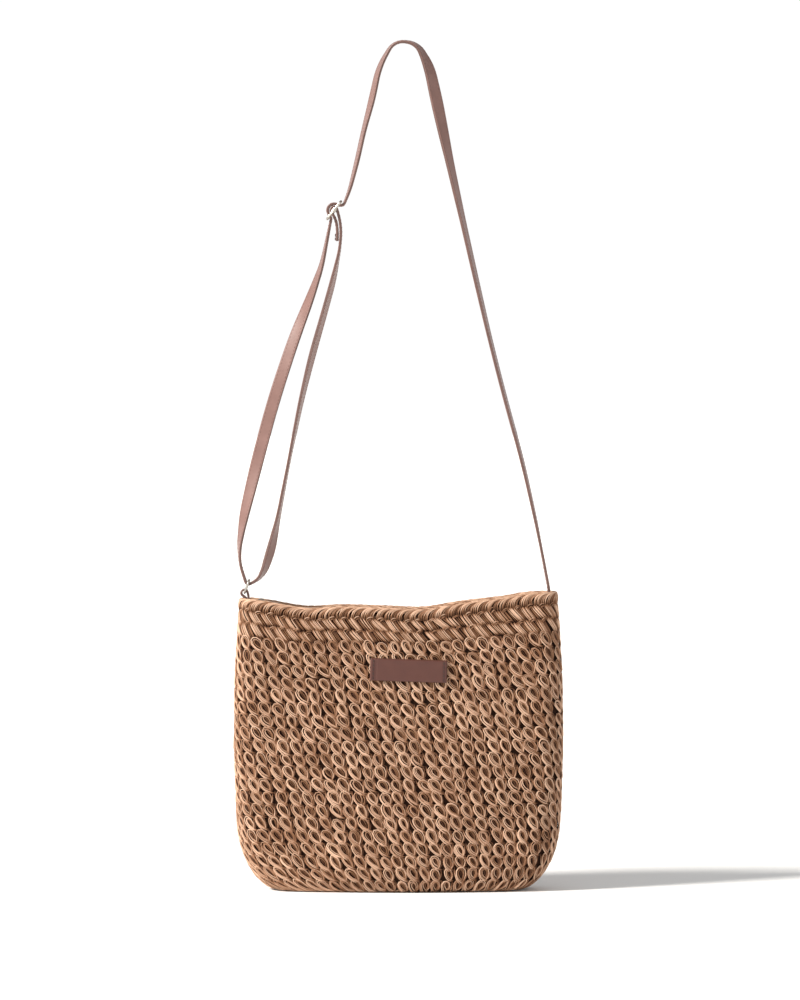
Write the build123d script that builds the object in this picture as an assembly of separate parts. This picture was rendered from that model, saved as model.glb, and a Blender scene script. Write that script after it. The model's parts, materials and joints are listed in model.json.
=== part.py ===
"""Crossbody purse of crocheted paper straw with a zipped mouth and an adjustable strap, piece by piece.

Millimetres, +Z up, the front faces -Y, and the origin is the centre of the base on the table.
"""
from build123d import *
from math import acos, atan2, cos, degrees, hypot, radians, sin, sqrt, tan
import os

# Crocheted body
BASE_HALF_WIDTH = 98.0
BULGE_HALF_WIDTH = 134.0
BULGE_HEIGHT = 130.0
TOP_PINCH = 5.0
SIDE_ROUND_HEIGHT = 52.0
BASE_HALF_DEPTH = 26.0
LOW_HALF_DEPTH = 38.5
RIM_HALF_DEPTH = 18.5
FACE_ROUND_HEIGHT = 30.0
END_ROUND_SHARE = 0.62
END_ROUND_MIN = 4.0
BODY_HEIGHT = 241.5
WALL = 4.0
# Height levels of the body's oval sections, as shares of its height
LEVELS = (0.0, 0.015, 0.04, 0.08, 0.14, 0.22, 0.32, 0.43, 0.54, 0.65, 0.76, 0.87, 0.98, 1.06)

# Wavy rim: share of the half width, and how far the rim lies below the body's highest corner
RIM_WAVE = ((-1.2, 6.0), (-0.93, 6.2), (-0.79, 8.0), (-0.56, 13.0), (-0.34, 12.0), (-0.07, 13.0),
            (0.15, 13.8), (0.37, 9.2), (0.63, 5.0), (0.82, 1.3), (1.2, 0.2))
EDGING_HEIGHT = 7.0
EDGING_PROUD = 0.8
TAB_DIP_RADIUS = 5.7

# Lining and the facing that carries the zip
LINING_GAP = 0.3
LINING_THICKNESS = 0.7
FACING_THICKNESS = 0.8
SOFT_GAP = 0.3
EDGE_GAP = 0.1

# Zip, in its own frame: x runs along the teeth from the closed end, z is square to the tape
ZIP_SLOPE_DEG = 2.0
ZIP_BELOW_TOP = 15.2
ZIP_LEFT = -117.5
ZIP_RIGHT = 115.0
ZIP_MOVING_LEFT = -95.2
ZIP_MOVING_RIGHT = 91.6
TAPE_HALF_WIDTH = 8.6
TAPE_THICKNESS = 0.7
TAPE_SLOT_HALF = 1.4
TOOTH_PITCH = 2.6
TOOTH_LENGTH = 1.1
TOOTH_INNER = 0.65
TOOTH_OUTER = 2.9
TOOTH_HEIGHT = 2.3
ZIP_CLEARANCE = 0.25

# Zip slider and pull
SLIDER_REST = -111.5
SLIDER_TRAVEL = 209.0
SLIDER_LENGTH = 10.0
SLIDER_WIDE = 8.4
SLIDER_NARROW = 7.0
SLIDER_PLATE = 1.2
FLANGE_WIDTH = 1.0
SLIDER_POST = (0.8, 2.4)
CROWN_LENGTH = 7.2
CROWN_WIDTH = 2.2
CROWN_BAR = 1.2
PULL_LENGTH = 15.6
PULL_WIDTH = 8.0
PULL_THICKNESS = 1.2
PULL_EYE_HALF = 1.45
PULL_PIN_RADIUS = 0.7
PULL_DROOP_DEG = 7.0

# Label
LABEL_WIDTH = 62.0
LABEL_HEIGHT = 18.0
LABEL_THICKNESS = 1.6
LABEL_CENTRE = (8.1, 179.4)
LABEL_TILT_DEG = 1.9
LABEL_STITCHES = 5
LABEL_STITCH_INSET = 2.6
THREAD_RADIUS = 0.35
THREAD_LENGTH = 2.2

# Strap and its two ends at the corners of the mouth
STRAP_WIDTH = 10.5
STRAP_THICKNESS = 2.4
STRAP_RISE = 441.0
STRAP_CORNER_X = 121.9
STRAP_PIVOT_ABOVE_TOP = 2.1
ROOT_DEPTH = 38.0
TAB_WIDTH = 9.6
TAB_THICKNESS = 1.6
TAB_CORNER_X = -122.35
TAB_PIVOT_BELOW_TOP = 4.2

# Ring in the tab
RING_WIRE_RADIUS = 0.95
RING_CENTRE_HEIGHT = 10.6
RING_SIDE_GAP = 0.4
RING_CORNER_RADIUS = 3.0
RING_LEAN_DEG = 19.4
RING_FOOT_OUT = 2.25
RING_FOOT_UP = 3.7
RING_PLAY = 0.9

# Strap buckle: a wire frame with a bar crimped across its middle
BUCKLE_WIRE_RADIUS = 1.0
BUCKLE_BAR_SPACING = 9.0
BUCKLE_ANGLE_DEG = 51.7
BUCKLE_CENTRE = (-52.1, 550.3)
BUCKLE_SIDE_GAP = 0.25
BUCKLE_CORNER_RADIUS = 2.4
BUCKLE_PLAY = 0.8
SLEEVE_RADIUS = 1.7
SLEEVE_LENGTH = 3.0
SLEEVE_FIT = 0.06


def save(solid, name):
    """Writes one node's STEP file."""
    os.makedirs("parts", exist_ok=True)
    solid.label = name
    export_step(solid, f"parts/{name}.step")


def joined(solids):
    """One compound of separate solids, for a node of several pieces."""
    return Compound([s for shape in solids for s in shape.solids()])


# ---------------------------------------------------------------- body sections

def oval_sizes(z):
    """Half width, half depth and end radius of the body's outside at height z."""
    z = max(z, 0.0)
    side = BULGE_HALF_WIDTH - TOP_PINCH * ((z - BULGE_HEIGHT) / (BODY_HEIGHT - BULGE_HEIGHT)) ** 2
    rise = 1.0 - min(z / SIDE_ROUND_HEIGHT, 1.0)
    half_width = BASE_HALF_WIDTH + (side - BASE_HALF_WIDTH) * sqrt(1.0 - rise**2)
    face = LOW_HALF_DEPTH - (LOW_HALF_DEPTH - RIM_HALF_DEPTH) * (z / BODY_HEIGHT) ** 1.5
    rise = 1.0 - min(z / FACE_ROUND_HEIGHT, 1.0)
    half_depth = BASE_HALF_DEPTH + (face - BASE_HALF_DEPTH) * sqrt(1.0 - rise**2)
    return half_width, half_depth, END_ROUND_SHARE * half_depth + END_ROUND_MIN


def face_radius(half_width, half_depth, end_radius):
    """Radius of the long front and rear arcs that are tangent to the end arcs."""
    reach = half_width - end_radius
    return (reach**2 + half_depth**2 - end_radius**2) / (2 * (half_depth - end_radius))


def oval(z, inset):
    """The body's section at height z, moved inwards by inset: four tangent arcs."""
    half_width, half_depth, end_radius = oval_sizes(z)
    long_radius = face_radius(half_width, half_depth, end_radius)
    reach = half_width - end_radius
    scale = (end_radius - inset) / (long_radius - end_radius)
    x = reach + reach * scale
    y = (long_radius - half_depth) * scale
    a = half_width - inset
    b = half_depth - inset
    return make_face([
        ThreePointArc((x, -y), (a, 0), (x, y)), ThreePointArc((x, y), (0, b), (-x, y)),
        ThreePointArc((-x, y), (-a, 0), (-x, -y)), ThreePointArc((-x, -y), (0, -b), (x, -y))])


def pouch(inset):
    """The body's full shape, moved inwards by inset, with its floor raised as much."""
    heights = [share * BODY_HEIGHT for share in LEVELS]
    return loft([Pos(0, 0, z + inset) * oval(z, inset) for z in heights])


def end_x(z, y, inset):
    """How far out the inset pouch reaches in x, at height z and beside the middle by y."""
    half_width, _, end_radius = oval_sizes(z - inset)
    return half_width - end_radius + sqrt((end_radius - inset) ** 2 - y**2)


def front_y(x, z, inset):
    """The inset pouch's front surface at x and z."""
    half_width, half_depth, end_radius = oval_sizes(z - inset)
    long_radius = face_radius(half_width, half_depth, end_radius)
    return -(sqrt((long_radius - inset) ** 2 - x**2) - (long_radius - half_depth))


def under_rim(drop):
    """Everything lower than drop below the wavy rim."""
    points = [(share * BULGE_HALF_WIDTH, BODY_HEIGHT - fall - drop) for share, fall in RIM_WAVE]
    low = -BODY_HEIGHT
    walls = Polyline(points[-1], (points[-1][0], low), (points[0][0], low), points[0])
    return extrude(Plane.XZ * make_face([Spline(*points), *walls.edges()]), 2 * LOW_HALF_DEPTH, both=True)


# ---------------------------------------------------------------- zip frame

ZIP_HEIGHT = BODY_HEIGHT - ZIP_BELOW_TOP
ZIP_FRAME = Location((0, 0, ZIP_HEIGHT), (0, ZIP_SLOPE_DEG, 0))
LINING_OUT = WALL + LINING_GAP
LINING_IN = LINING_OUT + LINING_THICKNESS


def zip_box(x0, x1, y0, y1, z0, z1):
    """A box between two corners, in the zip's own frame."""
    return Pos((x0 + x1) / 2, (y0 + y1) / 2, (z0 + z1) / 2) * Box(x1 - x0, y1 - y0, z1 - z0)


def below_zip(depth):
    """Everything lower than depth under the middle of the tape."""
    reach = 2 * BULGE_HALF_WIDTH
    return ZIP_FRAME * zip_box(-reach, reach, -reach, reach, -2 * BODY_HEIGHT, -depth)


# ---------------------------------------------------------------- crochet, lining and label

def crochet_body():
    """The hollow body, open at the top under the rim's edging."""
    return (pouch(0) - pouch(WALL)) & under_rim(EDGING_HEIGHT)


def rim_edging():
    """The chain-stitch edging that runs round the mouth, with a dip under the swinging ring tab."""
    shell = pouch(-EDGING_PROUD) - pouch(WALL)
    return (shell & under_rim(0)) - under_rim(EDGING_HEIGHT) - knuckle(TAB_PIVOT, TAB_DIP_RADIUS)


def lining():
    """The woven pouch inside, up to the facing."""
    return (pouch(LINING_OUT) - pouch(LINING_IN)) & below_zip(FACING_THICKNESS / 2 + EDGE_GAP)


def zip_facing():
    """The flat band between the lining's top edge and the zip tape."""
    half = FACING_THICKNESS / 2
    end_band = 1.8
    reach = BULGE_HALF_WIDTH
    slab = ZIP_FRAME * zip_box(ZIP_LEFT - end_band, ZIP_RIGHT + end_band, -reach, reach, -half, half)
    inner = TAPE_HALF_WIDTH + SOFT_GAP
    window = zip_box(ZIP_LEFT - SOFT_GAP, ZIP_RIGHT + SOFT_GAP, -inner, inner, -reach, reach)
    return (pouch(LINING_OUT) & slab) - ZIP_FRAME * window


def label():
    """The leather label on the front, which follows the body's face."""
    skin = pouch(-SOFT_GAP - LABEL_THICKNESS) - pouch(-SOFT_GAP)
    x, z = LABEL_CENTRE
    plate = Pos(x, -LOW_HALF_DEPTH / 2, z) * Rot(0, LABEL_TILT_DEG, 0) * Box(
        LABEL_WIDTH, LOW_HALF_DEPTH, LABEL_HEIGHT)
    return skin & plate


def label_stitches():
    """A column of stitches near each end of the label."""
    bars = []
    pitch = LABEL_HEIGHT / (LABEL_STITCHES + 0.4)
    for side in (-1, 1):
        for k in range(LABEL_STITCHES):
            across = side * (LABEL_WIDTH / 2 - LABEL_STITCH_INSET)
            up = (k - (LABEL_STITCHES - 1) / 2) * pitch
            tilt = radians(LABEL_TILT_DEG)
            x = LABEL_CENTRE[0] + across * cos(tilt) + up * sin(tilt)
            z = LABEL_CENTRE[1] - across * sin(tilt) + up * cos(tilt)
            outside = -SOFT_GAP - LABEL_THICKNESS - EDGE_GAP - THREAD_RADIUS
            rise = front_y(x, z + 1, outside) - front_y(x, z - 1, outside)
            lean = degrees(atan2(rise, 2))
            bars.append(Pos(x, front_y(x, z, outside), z) * Rot(-lean, LABEL_TILT_DEG, 0)
                        * Cylinder(THREAD_RADIUS, THREAD_LENGTH))
    return joined(bars)


# ---------------------------------------------------------------- zip

def tape_strip(x0, x1, side):
    """One side's tape between two stations of the zip."""
    half = TAPE_THICKNESS / 2
    y0, y1 = sorted((side * TAPE_SLOT_HALF, side * TAPE_HALF_WIDTH))
    return zip_box(x0, x1, y0, y1, -half, half)


def end_tape(x0, x1, bridge_x0, bridge_x1):
    """Both tapes at one end of the zip, sewn together past the slider's travel."""
    half = TAPE_THICKNESS / 2
    bridge = zip_box(bridge_x0, bridge_x1, -TAPE_HALF_WIDTH, TAPE_HALF_WIDTH, -half, half)
    return ZIP_FRAME * (tape_strip(x0, x1, -1) + tape_strip(x0, x1, 1) + bridge)


def moving_tape(side):
    """The tape of one half that opens, short of its sewn edge by the running gap."""
    half = TAPE_THICKNESS / 2
    y0, y1 = sorted((side * TAPE_SLOT_HALF, side * (TAPE_HALF_WIDTH - SOFT_GAP)))
    return ZIP_FRAME * zip_box(ZIP_MOVING_LEFT, ZIP_MOVING_RIGHT, y0, y1, -half, half)


def tooth(x, side):
    """One tooth, clamped over the tape's inner edge: an upper and a lower jaw and the nose."""
    half = TAPE_THICKNESS / 2 + EDGE_GAP / 2
    nose = TAPE_SLOT_HALF - EDGE_GAP
    y0, y1 = sorted((side * TOOTH_INNER, side * TOOTH_OUTER))
    block = zip_box(x - TOOTH_LENGTH / 2, x + TOOTH_LENGTH / 2, y0, y1, -TOOTH_HEIGHT / 2, TOOTH_HEIGHT / 2)
    block = chamfer(block.edges().filter_by(Axis.X), 0.25)
    y0, y1 = sorted((side * nose, side * 2 * TOOTH_OUTER))
    slot = zip_box(x - TOOTH_LENGTH, x + TOOTH_LENGTH, y0, y1, -half, half)
    return block, slot


def teeth(x0, x1, side):
    """A row of teeth with the tape's edge let into each, half a pitch apart on the two sides."""
    row = []
    shift = 0.25 * side * TOOTH_PITCH
    first = int((x0 - shift) / TOOTH_PITCH) - 1
    last = int((x1 - shift) / TOOTH_PITCH) + 1
    margin = TOOTH_LENGTH / 2 + EDGE_GAP
    for k in range(first, last + 1):
        x = k * TOOTH_PITCH + shift
        if x0 + margin <= x <= x1 - margin:
            block, slot = tooth(x, side)
            row.extend((block - slot).solids())
    return row


def slider():
    """The zip slider: two plates on a post, with turned-in flanges and the crown for the pull."""
    inner = TOOTH_HEIGHT / 2 + ZIP_CLEARANCE
    outer = inner + SLIDER_PLATE
    half = SLIDER_LENGTH / 2
    wide = SLIDER_WIDE / 2
    narrow = SLIDER_NARROW / 2
    plan = Polyline((-half, -wide + 1.4), (-half + 1.4, -wide), (-0.5, -wide), (half, -narrow),
                    (half, narrow), (-0.5, wide), (-half + 1.4, wide), (-half, wide - 1.4), close=True)
    block = extrude(Pos(0, 0, -outer) * make_face(plan), 2 * outer)
    block = fillet(block.edges().filter_by(Axis.Z, reverse=True).group_by(Axis.Z)[-1], 0.5)
    flange_inner = narrow - FLANGE_WIDTH + 0.45
    channel_half = max(TOOTH_OUTER + ZIP_CLEARANCE, flange_inner)
    tape_gap = TAPE_THICKNESS / 2 + ZIP_CLEARANCE
    reach = SLIDER_LENGTH
    block -= zip_box(-reach, reach, -channel_half, channel_half, -inner, inner)
    block -= zip_box(-reach, reach, -reach, reach, -tape_gap, tape_gap)
    post_width, post_length = SLIDER_POST
    block += zip_box(-half + 0.6, -half + 0.6 + post_length, -post_width / 2, post_width / 2, -outer + 0.2, outer - 0.2)
    crown = Pos(0, 0, outer) * extrude(
        Plane.XZ * (Circle(CROWN_LENGTH / 2) - Circle(CROWN_LENGTH / 2 - CROWN_BAR)), CROWN_WIDTH / 2, both=True)
    return block + (crown & zip_box(-reach, reach, -reach, reach, outer - 0.2, outer + reach))


def pull_height():
    """Height of the pull's pin over the middle of the tape: just under the crown's arch."""
    plate_top = TOOTH_HEIGHT / 2 + ZIP_CLEARANCE + SLIDER_PLATE
    return plate_top + CROWN_LENGTH / 2 - CROWN_BAR - PULL_PIN_RADIUS - 0.3


def pull():
    """The pull: a pin through the crown, two arms and a plate with a hole, lying towards +X."""
    half = PULL_THICKNESS / 2
    eye_end = CROWN_LENGTH / 2 + 0.9
    arm = PULL_EYE_HALF + 1.1
    plan = Polyline((-PULL_PIN_RADIUS, -arm), (eye_end, -arm), (PULL_LENGTH - 3.0, -PULL_WIDTH / 2),
                    (PULL_LENGTH, -PULL_WIDTH / 4), (PULL_LENGTH, PULL_WIDTH / 4),
                    (PULL_LENGTH - 3.0, PULL_WIDTH / 2), (eye_end, arm), (-PULL_PIN_RADIUS, arm), close=True)
    plate = extrude(Pos(0, 0, -half) * make_face(plan), PULL_THICKNESS)
    plate = chamfer(plate.edges().group_by(Axis.Z)[-1], 0.25)
    plate -= zip_box(-PULL_LENGTH, eye_end, -PULL_EYE_HALF, PULL_EYE_HALF, -1, 1)
    plate -= Pos(PULL_LENGTH - 4.4, 0, 0) * Cylinder(1.5, 2 * PULL_THICKNESS)
    pin = Rot(90, 0, 0) * Cylinder(PULL_PIN_RADIUS, 2 * arm)
    return plate + pin


def top_stops():
    """Two clamps on the tapes that stop the slider when the zip is closed."""
    low = TAPE_THICKNESS / 2 + EDGE_GAP / 2
    x = SLIDER_REST - SLIDER_LENGTH / 2 - SOFT_GAP
    return joined([ZIP_FRAME * zip_box(x - 1.0, x, y0, y0 + 2.0, low, low + 1.0) for y0 in (-2.7, 0.7)])


def bottom_stop():
    """The clamp across both tapes that stops the slider when the zip is open."""
    low = TAPE_THICKNESS / 2 + EDGE_GAP / 2
    x = SLIDER_REST + SLIDER_TRAVEL + SLIDER_LENGTH / 2 + SOFT_GAP
    block = zip_box(x, x + 2.0, -TOOTH_OUTER, TOOTH_OUTER, low, low + 1.2)
    return ZIP_FRAME * chamfer(block.edges().group_by(Axis.Z)[-1], 0.3)


# ---------------------------------------------------------------- bands in the XZ plane

def turn_at(before, here, after):
    """The angle by which a route turns at a corner, in radians."""
    ax, az = here[0] - before[0], here[1] - before[1]
    bx, bz = after[0] - here[0], after[1] - here[1]
    return acos(max(-1.0, min(1.0, (ax * bx + az * bz) / (hypot(ax, az) * hypot(bx, bz)))))


def route_radii(points, fixed):
    """A radius for each corner: the fixed ones as given, the others as large as their runs allow."""
    radii = []
    for k in range(1, len(points) - 1):
        turn = turn_at(*points[k - 1:k + 2])
        run = min(hypot(points[k][0] - points[j][0], points[k][1] - points[j][1]) for j in (k - 1, k + 1))
        radii.append(fixed.get(k, 0.45 * run / tan(turn / 2)))
    return radii


def band(points, width, thickness, fixed=None):
    """A flat band on edge: its route lies in the XZ plane and its width runs along Y."""
    route = Plane.XZ * FilletPolyline(*points, radius=route_radii(points, fixed or {}))
    start = Plane(origin=route @ 0, z_dir=route % 0, x_dir=(0, 1, 0))
    return sweep(start * Rectangle(width, thickness), path=route)


def on_side(centre, radius, angle):
    """The point of a circle at an angle in degrees from +X towards +Z."""
    return centre[0] + radius * cos(radians(angle)), centre[1] + radius * sin(radians(angle))


def crossing(p, p_angle, q, q_angle):
    """Where the line through p at one angle meets the line through q at another."""
    px, pz = cos(radians(p_angle)), sin(radians(p_angle))
    qx, qz = cos(radians(q_angle)), sin(radians(q_angle))
    t = ((q[0] - p[0]) * qz - (q[1] - p[1]) * qx) / (px * qz - pz * qx)
    return p[0] + t * px, p[1] + t * pz


def round_corner(centre, radius, angle_in, angle_out):
    """The corner whose fillet of this radius is centred on centre, for a route's two directions."""
    side = 90.0 if angle_out < angle_in else -90.0
    return crossing(on_side(centre, radius, angle_in + side), angle_in,
                    on_side(centre, radius, angle_out + side), angle_out)


def heading(p, q):
    """The direction from p to q, in degrees from +X towards +Z."""
    return degrees(atan2(q[1] - p[1], q[0] - p[0]))


def tangent_heading(p, centre, radius, left):
    """The direction of the line from p that touches the circle, which then lies on its left or right."""
    distance = hypot(centre[0] - p[0], centre[1] - p[1])
    offset = degrees(atan2(radius, sqrt(distance**2 - radius**2)))
    return heading(p, centre) + (-offset if left else offset)


# ---------------------------------------------------------------- where strap, ring and buckle sit

TAB_PIVOT = (TAB_CORNER_X, BODY_HEIGHT - TAB_PIVOT_BELOW_TOP)
STRAP_PIVOT = (STRAP_CORNER_X, BODY_HEIGHT + STRAP_PIVOT_ABOVE_TOP)
RING_FOOT = (TAB_PIVOT[0] - RING_FOOT_OUT, TAB_PIVOT[1] + RING_FOOT_UP)
RING_HEAD = on_side(RING_FOOT, RING_CENTRE_HEIGHT, 90 - RING_LEAN_DEG)
RING_HALF_WIDTH = STRAP_WIDTH / 2 + RING_SIDE_GAP + RING_WIRE_RADIUS
BUCKLE_HALF_WIDTH = STRAP_WIDTH / 2 + BUCKLE_SIDE_GAP + SLEEVE_RADIUS


def strap_point(x, share):
    """A point of the strap's route: how far out, and its share of the rise from the mouth to the crown."""
    return x, BODY_HEIGHT + share * STRAP_RISE


def strap_route():
    """The whole strap from its sewn end at the buckle, round the ring and over the crown to the right corner."""
    bar_wrap = BUCKLE_WIRE_RADIUS + SOFT_GAP + STRAP_THICKNESS / 2
    hump = bar_wrap + STRAP_THICKNESS + SOFT_GAP
    under = BUCKLE_WIRE_RADIUS + BUCKLE_PLAY + STRAP_THICKNESS / 2 + EDGE_GAP
    bar = BUCKLE_CENTRE
    low_bar = on_side(bar, BUCKLE_BAR_SPACING, BUCKLE_ANGLE_DEG + 180)
    high_bar = on_side(bar, BUCKLE_BAR_SPACING, BUCKLE_ANGLE_DEG)
    cross = degrees(atan2(hump + under, sqrt(BUCKLE_BAR_SPACING**2 - (hump + under) ** 2)))
    down, bend, below = ((bar[0] + x, bar[1] - z) for x, z in ((4.8, 8.038), (5.7, 18.181), (4.5, 31.852)))
    layer_step = STRAP_THICKNESS + 2 * EDGE_GAP
    stub_end = on_side(below, 0.5 * hypot(bend[0] - below[0], bend[1] - below[1]), heading(below, bend))
    stub_end = on_side(stub_end, layer_step, heading(below, bend) + 90)
    stub_middle = (bend[0] - layer_step - SOFT_GAP, bend[1])
    stub_top = (down[0] - layer_step - SOFT_GAP, down[1] - SOFT_GAP)
    points = [stub_end, stub_middle, stub_top]
    fixed = {}
    up_angle = tangent_heading(stub_top, bar, bar_wrap, left=False)
    down_angle = tangent_heading(down, bar, bar_wrap, left=True) - 180
    top_angle = (up_angle + down_angle) / 2
    for angles in ((up_angle, top_angle), (top_angle, down_angle)):
        fixed[len(points)] = bar_wrap * 0.98
        points.append(round_corner(bar, bar_wrap, *angles))
    points += [down, bend, below]
    points += [strap_point(x, share) for x, share in (
        (-52.7, 0.573), (-59.9, 0.514), (-69.9, 0.435), (-78.8, 0.352), (-88.6, 0.242),
        (-97.6, 0.135), (-103.2, 0.078), (-108.6, 0.040))]
    ring_wrap = RING_WIRE_RADIUS + RING_PLAY + STRAP_THICKNESS / 2
    shoulder = (RING_HEAD[0] + 7.6, RING_HEAD[1] + 0.6)
    points.append(shoulder)
    rise = strap_point(-128.6, 0.052)
    in_angle = tangent_heading(shoulder, RING_HEAD, ring_wrap, left=False)
    out_angle = tangent_heading(rise, RING_HEAD, ring_wrap, left=True) - 180
    in_angle = in_angle % 360
    out_angle = out_angle % 360
    fixed[len(points)] = ring_wrap
    points.append(round_corner(RING_HEAD, ring_wrap, in_angle, out_angle))
    points.append(rise)
    points += [strap_point(x, share) for x, share in (
        (-129.0, 0.085), (-125.4, 0.138), (-114.2, 0.242), (-101.0, 0.353), (-84.9, 0.463), (-70.6, 0.545),
        (-62.0, 0.600), (-58.4, 0.640))]
    low_in = tangent_heading(points[-1], low_bar, under, left=True)
    low_out = BUCKLE_ANGLE_DEG + cross
    high_in = BUCKLE_ANGLE_DEG - cross
    leave = strap_point(-39.4, 0.738)
    high_out = tangent_heading(leave, high_bar, under, left=False) + 180
    for centre, radius, angle_in, angle_out in (
            (low_bar, under, low_in, low_out), (bar, hump, low_out, high_in), (high_bar, under, high_in, high_out)):
        fixed[len(points)] = radius
        points.append(round_corner(centre, radius, angle_in, angle_out % 360 if angle_out > 180 else angle_out))
    points.append(leave)
    points += [strap_point(x, share) for x, share in (
        (-33.2, 0.793), (-27.9, 0.848), (-21.6, 0.901), (-15.8, 0.963), (-3.5, 1.0105), (15.0, 1.0065),
        (24.8, 0.963), (30.6, 0.903), (40.9, 0.793), (51.8, 0.683), (62.8, 0.573), (74.1, 0.463),
        (86.5, 0.353), (100.2, 0.242), (111.0, 0.133), (116.6, 0.068))]
    points += [STRAP_PIVOT, (STRAP_PIVOT[0] + 0.1, STRAP_PIVOT[1] - STRAP_WIDTH / 2)]
    return points, fixed


# ---------------------------------------------------------------- hinge line of the strap

HINGE_SLOPE_DEG = heading(TAB_PIVOT, STRAP_PIVOT)
KNUCKLE_GAP = 0.3


def knuckle(pivot, radius):
    """A short cylinder on the strap's hinge line, which runs from the tab to the right corner."""
    return Pos(pivot[0], 0, pivot[1]) * Rot(0, 90 - HINGE_SLOPE_DEG, 0) * Cylinder(radius, 12)


def lower_half(pivot, height):
    """The space round a pivot that lies lower than height over it."""
    depth = BODY_HEIGHT / 2
    return Pos(pivot[0], 0, pivot[1] + height - depth / 2) * Box(24, 60, depth)


def strap_and_ends():
    """The strap, with a round lower end that turns on the hinge line."""
    points, fixed = strap_route()
    whole = band(points, STRAP_WIDTH, STRAP_THICKNESS, fixed)
    return whole - (lower_half(STRAP_PIVOT, 0) - knuckle(STRAP_PIVOT, STRAP_WIDTH / 2))


def strap_root():
    """The strap's sewn end inside the right corner."""
    lining_top = ZIP_HEIGHT - STRAP_CORNER_X * tan(radians(ZIP_SLOPE_DEG))
    seat = end_x(lining_top, STRAP_WIDTH / 2, LINING_IN) - SOFT_GAP - STRAP_THICKNESS / 2
    x, z = STRAP_PIVOT
    points = [(x, z), (x, z - 5.2), ((x + seat) / 2 + 0.3, z - 14), (seat, z - 22), (seat, z - ROOT_DEPTH)]
    root = band(points, STRAP_WIDTH, STRAP_THICKNESS) & lower_half(STRAP_PIVOT, -2.4)
    return root - knuckle(STRAP_PIVOT, STRAP_WIDTH / 2 + KNUCKLE_GAP)


def ring_tab():
    """The leather tab folded over the ring's foot, down to the hinge line."""
    x, z = TAB_PIVOT
    layer = (TAB_THICKNESS + EDGE_GAP) / 2
    foot_x, foot_z = RING_FOOT
    over = RING_WIRE_RADIUS + SOFT_GAP + TAB_THICKNESS / 2
    points = [(x + layer, z - TAB_WIDTH / 2), (x + layer, z + 0.6), (foot_x + over + 0.3, foot_z + 0.4),
              (foot_x + 1.3, foot_z + over + 0.3), (foot_x - 2.2, foot_z + over),
              (foot_x - over - 1.1, foot_z - 1.2), (x - layer, z - 0.9), (x - layer, z - TAB_WIDTH / 2)]
    loop = band(points, TAB_WIDTH, TAB_THICKNESS)
    return loop - (lower_half(TAB_PIVOT, 0) - knuckle(TAB_PIVOT, TAB_WIDTH / 2))


def tab_root():
    """The tab's sewn end inside the left corner, both layers as one."""
    thickness = 2 * TAB_THICKNESS
    lining_top = ZIP_HEIGHT - TAB_CORNER_X * tan(radians(ZIP_SLOPE_DEG))
    seat = -(end_x(lining_top, TAB_WIDTH / 2, LINING_IN) - SOFT_GAP - thickness / 2)
    x, z = TAB_PIVOT
    points = [(x, z), (x, z - 5.0), ((x + seat) / 2 - 0.1, z - 11), (seat, z - 17), (seat, z - ROOT_DEPTH + 6)]
    root = band(points, TAB_WIDTH, thickness) & lower_half(TAB_PIVOT, -2.2)
    return root - knuckle(TAB_PIVOT, TAB_WIDTH / 2 + KNUCKLE_GAP)


def wire_loop(half_width, length, corner, wire_radius, centre, angle):
    """A rounded rectangular wire loop: its width along Y, its length in the XZ plane at an angle."""
    plane = Plane(origin=(centre[0], 0, centre[1]), x_dir=(0, 1, 0),
                  z_dir=(sin(radians(angle)), 0, -cos(radians(angle))))
    outline = (plane * RectangleRounded(2 * half_width, length, corner)).wire()
    start = Plane(origin=outline @ 0, z_dir=outline % 0)
    return sweep(start * Circle(wire_radius), path=outline)


def strap_ring():
    """The metal ring between the tab and the strap."""
    middle = on_side(RING_FOOT, RING_CENTRE_HEIGHT / 2, 90 - RING_LEAN_DEG)
    return wire_loop(RING_HALF_WIDTH, RING_CENTRE_HEIGHT, RING_CORNER_RADIUS, RING_WIRE_RADIUS,
                     middle, 90 - RING_LEAN_DEG)


def buckle_frame():
    """The buckle's bent wire frame."""
    return wire_loop(BUCKLE_HALF_WIDTH, 2 * BUCKLE_BAR_SPACING, BUCKLE_CORNER_RADIUS, BUCKLE_WIRE_RADIUS,
                     BUCKLE_CENTRE, BUCKLE_ANGLE_DEG)


def buckle_bar():
    """The buckle's middle bar, with a sleeve crimped round each side wire."""
    place = Pos(BUCKLE_CENTRE[0], 0, BUCKLE_CENTRE[1]) * Rot(0, 90 - BUCKLE_ANGLE_DEG, 0)
    bar = Rot(90, 0, 0) * Cylinder(BUCKLE_WIRE_RADIUS, 2 * BUCKLE_HALF_WIDTH)
    for side in (-1, 1):
        bar += Pos(0, side * BUCKLE_HALF_WIDTH, 0) * Cylinder(SLEEVE_RADIUS, SLEEVE_LENGTH)
    for side in (-1, 1):
        bar -= Pos(0, side * BUCKLE_HALF_WIDTH, 0) * Cylinder(BUCKLE_WIRE_RADIUS + SLEEVE_FIT, 3 * SLEEVE_LENGTH)
    return place * bar


def strap_end_stitches():
    """Two short rows of thread that sew the strap's end to itself below the buckle."""
    points, _ = strap_route()
    (x0, z0), (x1, z1) = points[0], points[1]
    angle = heading((x0, z0), (x1, z1))
    out = STRAP_THICKNESS / 2 + THREAD_RADIUS + EDGE_GAP
    bars = []
    for side in (-1, 1):
        for share in (0.25, 0.7):
            x = x0 + share * (x1 - x0) + out * cos(radians(angle + 90))
            z = z0 + share * (z1 - z0) + out * sin(radians(angle + 90))
            bars.append(Pos(x, side * STRAP_WIDTH * 0.32, z) * Rot(0, 90 - angle, 0)
                        * Cylinder(THREAD_RADIUS, THREAD_LENGTH))
    return joined(bars)


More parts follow.
